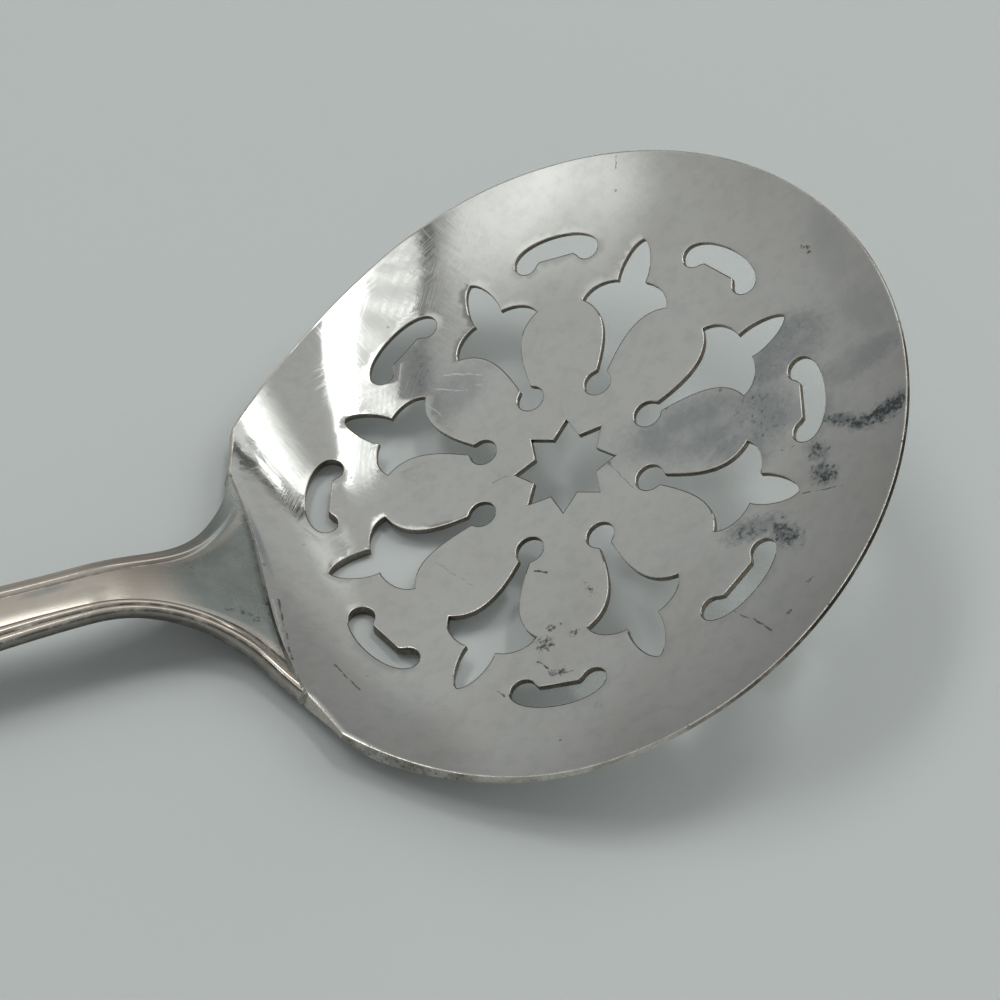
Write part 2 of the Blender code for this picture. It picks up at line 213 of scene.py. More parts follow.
@dataclass(frozen=True)
class HandleForm:
    """Centre line and widths of the handle, measured along its length from the seam."""

    dish: DishForm
    length: float = 141.0 * MM
    end_rounding: float = 15.0 * MM
    neck_half_width: float = 2.65 * MM
    neck_flare: float = 4.7 * MM
    end_half_width: float = 9.2 * MM
    neck_run: float = 17.9 * MM
    neck_rise: float = 6.2 * MM
    neck_start_pull: float = 9.0 * MM
    neck_end_pull: float = 7.0 * MM
    arch_start_pull: float = 45.0 * MM
    arch_end_pull: float = 42.0 * MM
    neck_thickness: float = 2.6 * MM
    end_thickness: float = 1.8 * MM
    end_rest: float = 12.0 * MM
    slope_step: float = 0.1 * MM
    samples: int = 240
    seam: Vector = field(init=False)
    along: Vector = field(init=False)
    cross_curve: float = field(init=False)
    line: list[tuple[float, Vector, Vector]] = field(init=False)

    def __post_init__(self) -> None:
        """Works out the seam's frame and the centre line once."""
        d = self.dish
        put = object.__setattr__
        put(self, "seam", d.point(-d.seam_setback, 0.0, 0.0))
        put(self, "along", d.tilted(-1.0, 0.0, -d.slopes(-d.seam_setback, 0.0)[0]).normalized())
        up = Vector((self.along.z, 0.0, -self.along.x))
        w = d.seam_half_width
        rise = (d.point(self.plan_at(0.0, w), w, 0.0) - self.seam).dot(up)
        put(self, "cross_curve", rise / w**2)
        put(self, "line", self._line(-d.origin().z))

    def plan_at(self, s: float, v: float) -> float:
        """Place of the blade's top face behind the seam.

        Args:
            s: distance behind the seam.
            v: place across.

        Returns:
            The plan position u.
        """
        d = self.dish
        return solve(
            -d.seam_setback - d.seam_half_width,
            0.0,
            lambda u: (d.point(u, v, 0.0) - self.seam).dot(self.along) > s,
        )

    def _line(self, rest_level: float) -> list[tuple[float, Vector, Vector]]:
        """Samples of distance, point and direction along the top face's centre line.

        Args:
            rest_level: height of the table under the server.

        Returns:
            Rising neck, falling arch and level end, as one row of samples.
        """
        back = Vector((-1.0, 0.0, 0.0))
        neck = self.seam + Vector((-self.neck_run, 0.0, self.neck_rise))
        chord = self.length - self.end_rest - math.hypot(self.neck_run, self.neck_rise)
        foot = Vector((neck.x - chord, 0.0, rest_level + self.end_thickness))
        end = foot + back * self.end_rest
        rise = [self.seam, self.seam + self.along * self.neck_start_pull]
        rise += [neck - back * self.neck_end_pull, neck]
        fall = [neck, neck + back * self.arch_start_pull, foot - back * self.arch_end_pull, foot]
        level = [foot, foot.lerp(end, 1 / 3), foot.lerp(end, 2 / 3), end]
        samples = [(0.0, self.seam, self.along)]
        for curve in (rise, fall, level):
            for k in range(1, self.samples + 1):
                p = bezier(curve, k / self.samples)
                step = p - samples[-1][1]
                samples.append((samples[-1][0] + step.length, p, step.normalized()))
        return samples

    def half_width(self, s: float) -> float:
        """Half width of neck and handle.

        Args:
            s: distance from the seam.

        Returns:
            The half width.
        """
        flare = (self.dish.seam_half_width - self.neck_half_width) * math.exp(-s / self.neck_flare)
        widen = smooth(s / (self.length - self.end_rounding))
        return self.neck_half_width + flare + (self.end_half_width - self.neck_half_width) * widen

    def edge_spread(self, s: float) -> float:
        """Length across the handle that a unit measured square to its edge takes up."""
        rise = self.half_width(s + self.slope_step) - self.half_width(s - self.slope_step)
        return math.hypot(1.0, rise / (2 * self.slope_step))

    def thickness(self, s: float) -> float:
        """Thickness: the blade's at the seam, full at the neck and thin at the end."""
        body = lerp(self.neck_thickness, self.end_thickness, smooth(s / (self.length - self.end_rest)))
        return body - (self.neck_thickness - self.dish.heel_thickness) * math.exp(-s / self.neck_flare)

    def point(self, s: float, v: float, h: float) -> Vector:
        """Point of the bent handle; before the seam its frame runs on straight.

        Args:
            s: distance behind the seam.
            v: place across.
            h: height over the centre line.

        Returns:
            The point.
        """
        if s <= 0.0:
            centre, along = self.seam + self.along * s, self.along
        else:
            low, high = 0, len(self.line) - 1
            while high - low > 1:
                mid = (low + high) // 2
                low, high = (mid, high) if self.line[mid][0] < s else (low, mid)
            a, b = self.line[low], self.line[high]
            t = (s - a[0]) / (b[0] - a[0])
            centre, along = a[1].lerp(b[1], t), a[2].lerp(b[2], t).normalized()
        up = Vector((along.z, 0.0, -along.x))
        bow = self.cross_curve * math.exp(-max(s, 0.0) / self.neck_flare)
        return centre + up * (h + bow * v * v) + Vector((0.0, v, 0.0))


class Outline:
    """Closed plan outline, as sides between corners, with the plate on its left."""

    mitre_limit = 1.8

    def __init__(self, sides: list[Plan], plate_outside: bool) -> None:
        """Keeps the sides, turned so that the plate lies on their left.

        Args:
            sides: runs of points, each starting where the last one ends.
            plate_outside: True for a piercing, False for the plate's own edge.
        """
        ring = [p for side in sides for p in side[:-1]]
        area = sum(p.x * q.y - q.x * p.y for p, q in zip(ring, ring[1:] + ring[:1]))
        if (area > 0.0) == plate_outside:
            sides = [side[::-1] for side in reversed(sides)]
        self.sides = sides

    @staticmethod
    def tangents(side: Plan) -> Plan:
        """Unit directions at the points of a side."""
        last = len(side) - 1
        return [(side[min(i + 1, last)] - side[max(i - 1, 0)]).normalized() for i in range(last + 1)]

    def inset(self, distance: float) -> Plan:
        """Outline moved into the plate, with mitred corners.

        Args:
            distance: how far it moves.

        Returns:
            One point for each point of the outline.
        """
        runs = [self.tangents(side) for side in self.sides]
        corners = []
        for k in range(len(self.sides)):
            m0, m1 = (Vector((-t.y, t.x)) for t in (runs[k - 1][-1], runs[k][0]))
            reach = (m0 + m1) / max(1.0 + m0.dot(m1), MERGE_DISTANCE)
            limit = min(1.0, self.mitre_limit / max(reach.length, MERGE_DISTANCE))
            corners.append(reach * limit * distance)
        points = []
        for k, (side, run) in enumerate(zip(self.sides, runs)):
            lead = corners[k].dot(run[0])
            lag = corners[(k + 1) % len(corners)].dot(run[-1])
            points.append(side[0] + corners[k])
            for i in range(1, len(side) - 1):
                t = run[i]
                shift = t * lerp(lead, lag, i / (len(side) - 1))
                points.append(side[i] + Vector((-t.y, t.x)) * distance + shift)
        return points


@dataclass(frozen=True)
class PiercingPattern:
    """Star, ring of fleurs and ring of crescents, as they lie once the pierced blank is pressed."""

    dish: DishForm
    pitch: float = 0.36 * MM
    count: int = 8
    star_tip_radius: float = 5.64 * MM
    star_root_radius: float = 3.72 * MM
    star_turn: float = math.radians(-2.1)
    bulb_distance: float = 10.05 * MM
    bulb_radius: float = 1.5 * MM
    stem_half_width: float = 0.62 * MM
    stem_shoulder: float = 1.35
    leaf_distance: float = 19.4 * MM
    leaf_half_span: float = 5.1 * MM
    leaf_base: Pair = (0.55, 0.08)
    leaf_tip: Pair = (0.91, 0.30)
    leaf_top: Pair = (0.58, 0.96)
    notch_distance: float = 22.1 * MM
    notch_half_width: float = 1.65 * MM
    notch: Pair = (0.97, 0.62)
    petal_distance: float = 27.0 * MM
    petal_base: Pair = (0.30, 1.20)
    petal_tip: Pair = (0.90, 0.75)
    crescent_chord: float = 25.85 * MM
    crescent_crest: float = 28.4 * MM
    crescent_end_spread: float = 3.62 * MM
    crescent_end_radius: float = 1.33 * MM
    crescent_end_seat: float = 0.2 * MM
    crescent_end_inset: float = 1.6 * MM
    crescent_end_turn: float = math.radians(-65.0)
    crescent_back: Pair = (0.52, 0.60)
    press_steps: int = 24
    fewest_steps: int = 3

    def run(self, *points: Vector) -> Plan:
        """Straight line or cubic curve at the outline's pitch, both ends included.

        Args:
            points: two ends, with two pulls for a curve.

        Returns:
            Points along it.
        """
        ends = [Vector(p) for p in points]
        if len(ends) == 2:
            ends = [ends[0], ends[0].lerp(ends[1], 1 / 3), ends[0].lerp(ends[1], 2 / 3), ends[1]]
        length = sum((b - a).length for a, b in zip(ends, ends[1:]))
        steps = max(self.fewest_steps, round(length / self.pitch))
        return [bezier(ends, k / steps) for k in range(steps + 1)]

    def arc(self, centre: Vector, radius: float, start: float, end: float) -> Plan:
        """Arc at the outline's pitch, both ends included.

        Args:
            centre: its centre.
            radius: its radius.
            start: first angle, from the side next to the pattern's centre.
            end: last angle.

        Returns:
            Points along it.
        """
        steps = max(self.fewest_steps, round(abs(end - start) * radius / self.pitch))
        turns = [lerp(start, end, k / steps) for k in range(steps + 1)]
        return [centre + Vector((-math.cos(a), math.sin(a))) * radius for a in turns]

    @staticmethod
    def mirrored(side: Plan) -> Plan:
        """Side on the other hand of the axis, run the other way."""
        return [Vector((p.x, -p.y)) for p in reversed(side)]

    def fleur(self) -> list[Plan]:
        """Bulb, stem, two side leaves and a pointed petal.

        Returns:
            The sides of one fleur, on the axis.
        """
        shoulder = math.pi - math.asin(self.stem_half_width / self.bulb_radius) * self.stem_shoulder
        bulb = self.arc(Vector((self.bulb_distance, 0.0)), self.bulb_radius, -shoulder, shoulder)
        stem = Vector((self.bulb_distance + self.bulb_radius, self.stem_half_width))
        leaf = Vector((self.leaf_distance, self.leaf_half_span))
        notch = Vector((self.notch_distance, self.notch_half_width))
        petal = Vector((self.petal_distance, 0.0))
        base = (lerp(stem.x, leaf.x, self.leaf_base[0]), lerp(stem.y, leaf.y, self.leaf_base[1]))
        tip = (lerp(stem.x, leaf.x, self.leaf_tip[0]), lerp(stem.y, leaf.y, self.leaf_tip[1]))
        top = (lerp(leaf.x, notch.x, self.leaf_top[0]), leaf.y * self.leaf_top[1])
        fall = (lerp(leaf.x, notch.x, self.notch[0]), leaf.y * self.notch[1])
        swell = (lerp(notch.x, petal.x, self.petal_base[0]), notch.y * self.petal_base[1])
        point = (lerp(notch.x, petal.x, self.petal_tip[0]), notch.y * self.petal_tip[1])
        half = [
            [bulb[-1]] + self.run(stem, Vector(base), Vector(tip), leaf),
            self.run(leaf, Vector(top), Vector(fall), notch),
            self.run(notch, Vector(swell), Vector(point), petal),
        ]
        return [bulb] + half + [self.mirrored(side) for side in reversed(half)]

    def crescent(self) -> list[Plan]:
        """Straight inner edge, two round end lobes and a bowed back.

        Returns:
            The sides of one crescent, on the axis.
        """
        lobe = Vector((self.crescent_chord + self.crescent_end_seat, self.crescent_end_spread))
        tip = lobe + Vector((0.0, self.crescent_end_radius))
        crest = Vector((self.crescent_crest, 0.0))
        inner = Vector((self.crescent_chord, self.crescent_end_spread - self.crescent_end_inset))
        end = self.arc(lobe, self.crescent_end_radius, self.crescent_end_turn, math.pi / 2)
        back = Vector((lerp(lobe.x, crest.x, self.crescent_back[0]), tip.y))
        bow = Vector((crest.x, tip.y * self.crescent_back[1]))
        round_half = end[:-1] + self.run(tip, back, bow, crest)
        chord = self.run(self.mirrored([inner])[0], inner)
        throat = [inner, end[0]]
        return [chord, throat, round_half + self.mirrored(round_half)[1:], self.mirrored(throat)]

    def star(self) -> list[Plan]:
        """Straight-sided star.

        Returns:
            Its sides.
        """
        points = []
        for k in range(2 * self.count):
            a = (k + 1) * math.pi / self.count + self.star_turn
            r = self.star_root_radius if k % 2 else self.star_tip_radius
            points.append(Vector((math.cos(a), math.sin(a))) * r)
        return [self.run(p, q) for p, q in zip(points, points[1:] + points[:1])]

    def drawn_in(self, a: float) -> float:
        """Draws the heel in, as pressing the curl does.

        Args:
            a: place on the flat blank.

        Returns:
            Its place once the blank is pressed.
        """
        start = -self.dish.curl_start
        if a > start:
            return a
        u = start
        for _ in range(self.press_steps):
            plain = math.hypot(1.0, self.dish.slopes(-u, 0.0)[0])
            curled = math.hypot(1.0, self.dish.slopes(u, 0.0)[0])
            u -= (start - a) / self.press_steps / (1.0 + curled - plain)
        return u

    def outlines(self) -> list[Outline]:
        """All the piercings of the blade.

        Returns:
            One outline for each piercing.
        """
        step = 2 * math.pi / self.count
        shapes = [self.star()]
        for k in range(self.count):
            for shape, turn in ((self.fleur(), k * step), (self.crescent(), (k + 0.5) * step)):
                rotation = Matrix.Rotation(math.pi + turn, 2)
                shapes.append([[rotation @ p for p in side] for side in shape])
        pressed = [[[Vector((self.drawn_in(p.x), p.y)) for p in s] for s in shape] for shape in shapes]
        return [Outline(shape, plate_outside=True) for shape in pressed]


class Effect(Enum):
    """Shared surface effects, each a shader node group, with its vector and plain inputs."""

    HAIRLINES = ("hairline_scratches", "Vector", "Angle Scale Length Cover")
    CLOUD = ("tarnish_cloud", "Vector", "Scale Low High")
    SPOT = ("worn_spot", "Vector Centre Reach", "Turn Ragged Grain")
    PITS = ("pitting", "Vector", "Scale Size Share")
    SCORE = ("single_score", "Vector Start Along", "Length Width")


class NodeSheet:
    """A node tree under construction, with short calls for nodes and links."""

    def __init__(self, tree: bpy.types.NodeTree) -> None:
        """Keeps the tree."""
        self.tree = tree

    def add(self, kind: str, inputs: dict[Any, Any] | None = None, **settings: Any) -> bpy.types.Node:
        """Adds a node.

        Args:
            kind: node type without its ShaderNode prefix.
            inputs: values or sockets by input name or number.
            settings: node properties.

        Returns:
            The new node.
        """
        node = self.tree.nodes.new("ShaderNode" + kind)
        for name, value in settings.items():
            setattr(node, name, value)
        for name, value in (inputs or {}).items():
            self.feed(node.inputs[name], value)
        return node

    def feed(self, socket: Socket, value: Any) -> None:
        """Links a socket to an input, or sets the input's own value.

        Args:
            socket: the input.
            value: a socket, or the value to set.
        """
        if isinstance(value, Socket):
            self.tree.links.new(value, socket)
        else:
            socket.default_value = value

    def math(self, operation: str, a: Any, b: Any = 0.0, clamp: bool = False) -> Socket:
        """Result of a math node on two values or sockets."""
        return self.add("Math", {0: a, 1: b}, operation=operation, use_clamp=clamp).outputs[0]

    def times(self, a: Any, b: Any) -> Socket:
        """Product of two values or sockets."""
        return self.math("MULTIPLY", a, b)

    def plus(self, a: Any, b: Any, clamp: bool = False) -> Socket:
        """Sum of two values or sockets."""
        return self.math("ADD", a, b, clamp)

    def minus(self, a: Any, b: Any) -> Socket:
        """Difference of two values or sockets."""
        return self.math("SUBTRACT", a, b)

    def vector(self, operation: str, a: Any, b: Any) -> bpy.types.Node:
        """Vector math node on two vectors or sockets."""
        return self.add("VectorMath", {0: a, 1: b}, operation=operation)

    def ease(self, value: Any, low: Any, high: Any, start: Any = 0.0, end: Any = 1.0) -> Socket:
        """Value between low and high carried smoothly onto start to end."""
        inputs = {"Value": value, "From Min": low, "From Max": high, "To Min": start, "To Max": end}
        return self.add("MapRange", inputs, interpolation_type="SMOOTHSTEP").outputs["Result"]

    def fade(self, value: Any, low: Any, high: Any) -> Socket:
        """One below low, falling smoothly to nothing above high."""
        return self.ease(value, low, high, 1.0, 0.0)

    def blend(self, factor: Any, a: Any, b: Any) -> Socket:
        """Mixes two colours.

        Args:
            factor: share of the second colour.
            a: first colour or its socket.
            b: second colour or its socket.

        Returns:
            The mixed colour's socket.
        """
        a, b = ((*c, 1.0) if isinstance(c, tuple) else c for c in (a, b))
        return self.add("Mix", {0: factor, 6: a, 7: b}, data_type="RGBA").outputs[2]

    def noise(self, vector: Any, scale: Any, detail: float, roughness: float = 0.55) -> Socket:
        """Noise between 0 and 1."""
        inputs = {"Vector": vector, "Scale": scale, "Detail": detail, "Roughness": roughness}
        return self.add("TexNoise", inputs).outputs[0]

    def effect(self, effect: Effect, inputs: dict[str, Any]) -> Socket:
        """Places a shared effect with its own values.

        Args:
            effect: which effect.
            inputs: values or sockets by input name.

        Returns:
            The effect's mask.
        """
        node = self.add("Group", node_tree=EffectLibrary.tree(effect))
        for name, value in inputs.items():
            self.feed(node.inputs[name], value)
        return node.outputs[0]


class EffectLibrary:
    """Shader node groups of the shared effects, each built once."""

    trees: dict[Effect, bpy.types.NodeTree] = {}
    middle = 0.5
    hair_noise = (2.0, 0.6)
    hair_width = 0.022
    patch_scale = 0.09
    patch_noise = (2.0, 0.5)
    patch_edge = 0.16
    cloud_noise = (5.0, 0.6)
    spot_noise = (4.0, 0.65)
    spot_edge = (0.3, 1.0)
    pit_fineness = 3.0
    pit_detail = 2.0
    pit_warp = 0.16
    pit_least = 0.35
    pit_rim = 0.08
    pit_edge = (-0.06, 0.04)
    waver_noise = {"Scale": 900.0, "Detail": 2.0}
    waver_reach = 0.0006
    break_noise = (1700.0, 2.0)
    break_edge = (0.28, 0.46)
    score_core = 0.35

    @classmethod
    def tree(cls, effect: Effect) -> bpy.types.NodeTree:
        """Node group of an effect.

        Args:
            effect: which effect.

        Returns:
            Its group, built at the first call.
        """
        if effect not in cls.trees:
            name, vectors, values = effect.value
            tree = cls.trees[effect] = bpy.data.node_groups.new(name, "ShaderNodeTree")
            for kind, names in (("NodeSocketVector", vectors), ("NodeSocketFloat", values)):
                for key in names.split():
                    tree.interface.new_socket(name=key, in_out="INPUT", socket_type=kind)
            tree.interface.new_socket(name="Mask", in_out="OUTPUT", socket_type="NodeSocketFloat")
            given = tree.nodes.new("NodeGroupInput").outputs
            leave = tree.nodes.new("NodeGroupOutput")
            maker = getattr(cls, effect.name.lower())
            tree.links.new(maker(NodeSheet(tree), given), leave.inputs["Mask"])
        return cls.trees[effect]

    @classmethod
    def hairlines(cls, sheet: NodeSheet, given: Any) -> Socket:
        """Fine broken scratches that run one way.

        Args:
            sheet: the group's nodes.
            given: its inputs by name.

        Returns:
            The mask.
        """
        turn = {"Vector": given["Vector"], "Angle": given["Angle"]}
        turned = sheet.add("VectorRotate", turn, rotation_type="Z_AXIS").outputs[0]
        stretch = sheet.add("CombineXYZ", {0: sheet.math("DIVIDE", 1.0, given["Length"]), 1: 1.0, 2: 0.0})
        drawn = sheet.vector("MULTIPLY", turned, stretch.outputs[0]).outputs[0]
        fine = sheet.noise(drawn, given["Scale"], *cls.hair_noise)
        ridge = sheet.math("ABSOLUTE", sheet.minus(fine, cls.middle))
        line = sheet.fade(ridge, 0.0, cls.hair_width)
        patches = sheet.noise(turned, sheet.times(given["Scale"], cls.patch_scale), *cls.patch_noise)
        cover = sheet.minus(1.0, given["Cover"])
        shown = sheet.ease(patches, cover, sheet.plus(cover, cls.patch_edge))
        return sheet.times(line, shown)

    @classmethod
    def cloud(cls, sheet: NodeSheet, given: Any) -> Socket:
        """Soft uneven patches.

        Args:
            sheet: the group's nodes.
            given: its inputs by name.

        Returns:
            The mask.
        """
        broad = sheet.noise(given["Vector"], given["Scale"], *cls.cloud_noise)
        return sheet.ease(broad, given["Low"], given["High"])

    @classmethod
    def spot(cls, sheet: NodeSheet, given: Any) -> Socket:
        """One soft patch with a ragged edge.

        Args:
            sheet: the group's nodes.
            given: its inputs by name.

        Returns:
            The mask.
        """
        away = sheet.vector("SUBTRACT", given["Vector"], given["Centre"]).outputs[0]
        back = sheet.times(given["Turn"], -1.0)
        turned = sheet.add("VectorRotate", {"Vector": away, "Angle": back}, rotation_type="Z_AXIS").outputs[0]
        flat = sheet.vector("MULTIPLY", turned, (1.0, 1.0, 0.0)).outputs[0]
        share = sheet.vector("DIVIDE", flat, given["Reach"]).outputs[0]
        distance = sheet.add("VectorMath", {0: share}, operation="LENGTH").outputs["Value"]
        fleck = sheet.noise(given["Vector"], given["Grain"], *cls.spot_noise)
        wobble = sheet.times(sheet.minus(fleck, cls.middle), given["Ragged"])
        return sheet.fade(sheet.plus(distance, wobble), *cls.spot_edge)

    @classmethod
    def pits(cls, sheet: NodeSheet, given: Any) -> Socket:
        """Small scattered pits of uneven size.

        Args:
            sheet: the group's nodes.
            given: its inputs by name.

        Returns:
            The mask.
        """
        cells = sheet.add("TexVoronoi", {"Vector": given["Vector"], "Scale": given["Scale"]})
        parts = sheet.add("SeparateColor", {0: cells.outputs["Color"]})
        rough = sheet.noise(given["Vector"], sheet.times(given["Scale"], cls.pit_fineness), cls.pit_detail)
        warped = sheet.plus(cells.outputs["Distance"], sheet.times(rough, cls.pit_warp))
        size = sheet.times(given["Size"], sheet.plus(parts.outputs[1], cls.pit_least))
        edge = sheet.minus(warped, sheet.plus(size, cls.pit_rim))
        dot = sheet.fade(edge, *cls.pit_edge)
        return sheet.times(dot, sheet.math("LESS_THAN", parts.outputs[0], given["Share"]))

    @classmethod
    def score(cls, sheet: NodeSheet, given: Any) -> Socket:
        """One straight scratch between two points, uneven along its length.

        Args:
            sheet: the group's nodes.
            given: its inputs by name.

        Returns:
            The mask.
        """
        waver = sheet.add("TexNoise", {"Vector": given["Vector"], **cls.waver_noise})
        shake = sheet.vector("SUBTRACT", waver.outputs[1], (cls.middle,) * 3).outputs[0]
        shake = sheet.add("VectorMath", {0: shake, "Scale": cls.waver_reach}, operation="SCALE").outputs[0]
        bent = sheet.vector("ADD", given["Vector"], shake).outputs[0]
        away = sheet.vector("SUBTRACT", bent, given["Start"]).outputs[0]
        reach = sheet.vector("DOT_PRODUCT", away, given["Along"]).outputs["Value"]
        held = sheet.math("MAXIMUM", sheet.math("MINIMUM", reach, given["Length"]), 0.0)
        foot = sheet.add("VectorMath", {0: given["Along"], "Scale": held}, operation="SCALE").outputs[0]
        off = sheet.vector("SUBTRACT", away, foot).outputs[0]
        distance = sheet.add("VectorMath", {0: off}, operation="LENGTH").outputs["Value"]
        broken = sheet.ease(sheet.noise(given["Vector"], *cls.break_noise), *cls.break_edge)
        line = sheet.fade(distance, sheet.times(given["Width"], cls.score_core), given["Width"])
        return sheet.times(line, broken)


@dataclass(frozen=True)
class Spot:
    """Patch at a plan place, in millimetres: from the pattern's centre, or along the handle from the seam."""

    u: float
    v: float
    along: float
    across: float
    turn: float
    haze: float
    flecks: float = 0.0
    ragged: float = 1.3


@dataclass(frozen=True)
class Score:
    """Single scratch on the blade between two plan places, in millimetres from the pattern's centre."""

    start: Pair
    end: Pair
    width: float
    strength: float


@dataclass(frozen=True)
class PlateFinish:
    """Look of one face of the worn silver plate."""

    name: str
    silver: Colour = (0.785, 0.795, 0.775)
    warm: Colour = (0.71, 0.70, 0.665)
    tarnish: Colour = (0.33, 0.37, 0.39)
    fleck: Colour = (0.075, 0.09, 0.10)
    # Dark colour of pits, scratches and grime, and of the painted shade on the handle's side and at the
    # seam's crease.
    dirt_and_shade: Colour = (0.055, 0.05, 0.045)
    roughness: float = 0.05
    haze: float = 0.03
    cloud_scale: float = 70.0
    cloud_depth: float = 0.45
    mottle: float = 0.45
    hairline_angles: tuple[float, ...] = (0.35, 1.25, 2.2, 2.9)
    hairline_light: float = 0.06
    hairline_depth: float = 0.0000007
    sleek_angle: float = 1.05
    sleek_depth: float = 0.000004
    grain_depth: float = 0.0000015
    pit_scale: float = 420.0
    pit_size: float = 0.07
    pit_share: float = 0.18
    pit_dark: float = 0.5
    pit_depth: float = 0.000003
    spot_haze: float = 0.76
    grime: float = 0.0
    recess_dark: float = 0.0
    recess_even: float = 0.82
    recess_name: str = ""
    # Name of a value stored on the mesh that holds grime and painted shade, blended towards the dark colour.
    dirt_and_shade_name: str = ""
    tarnish_spots: tuple[Spot, ...] = ()
    pit_spots: tuple[Spot, ...] = ()
    bright_scores: tuple[Score, ...] = ()
    dark_scores: tuple[Score, ...] = ()


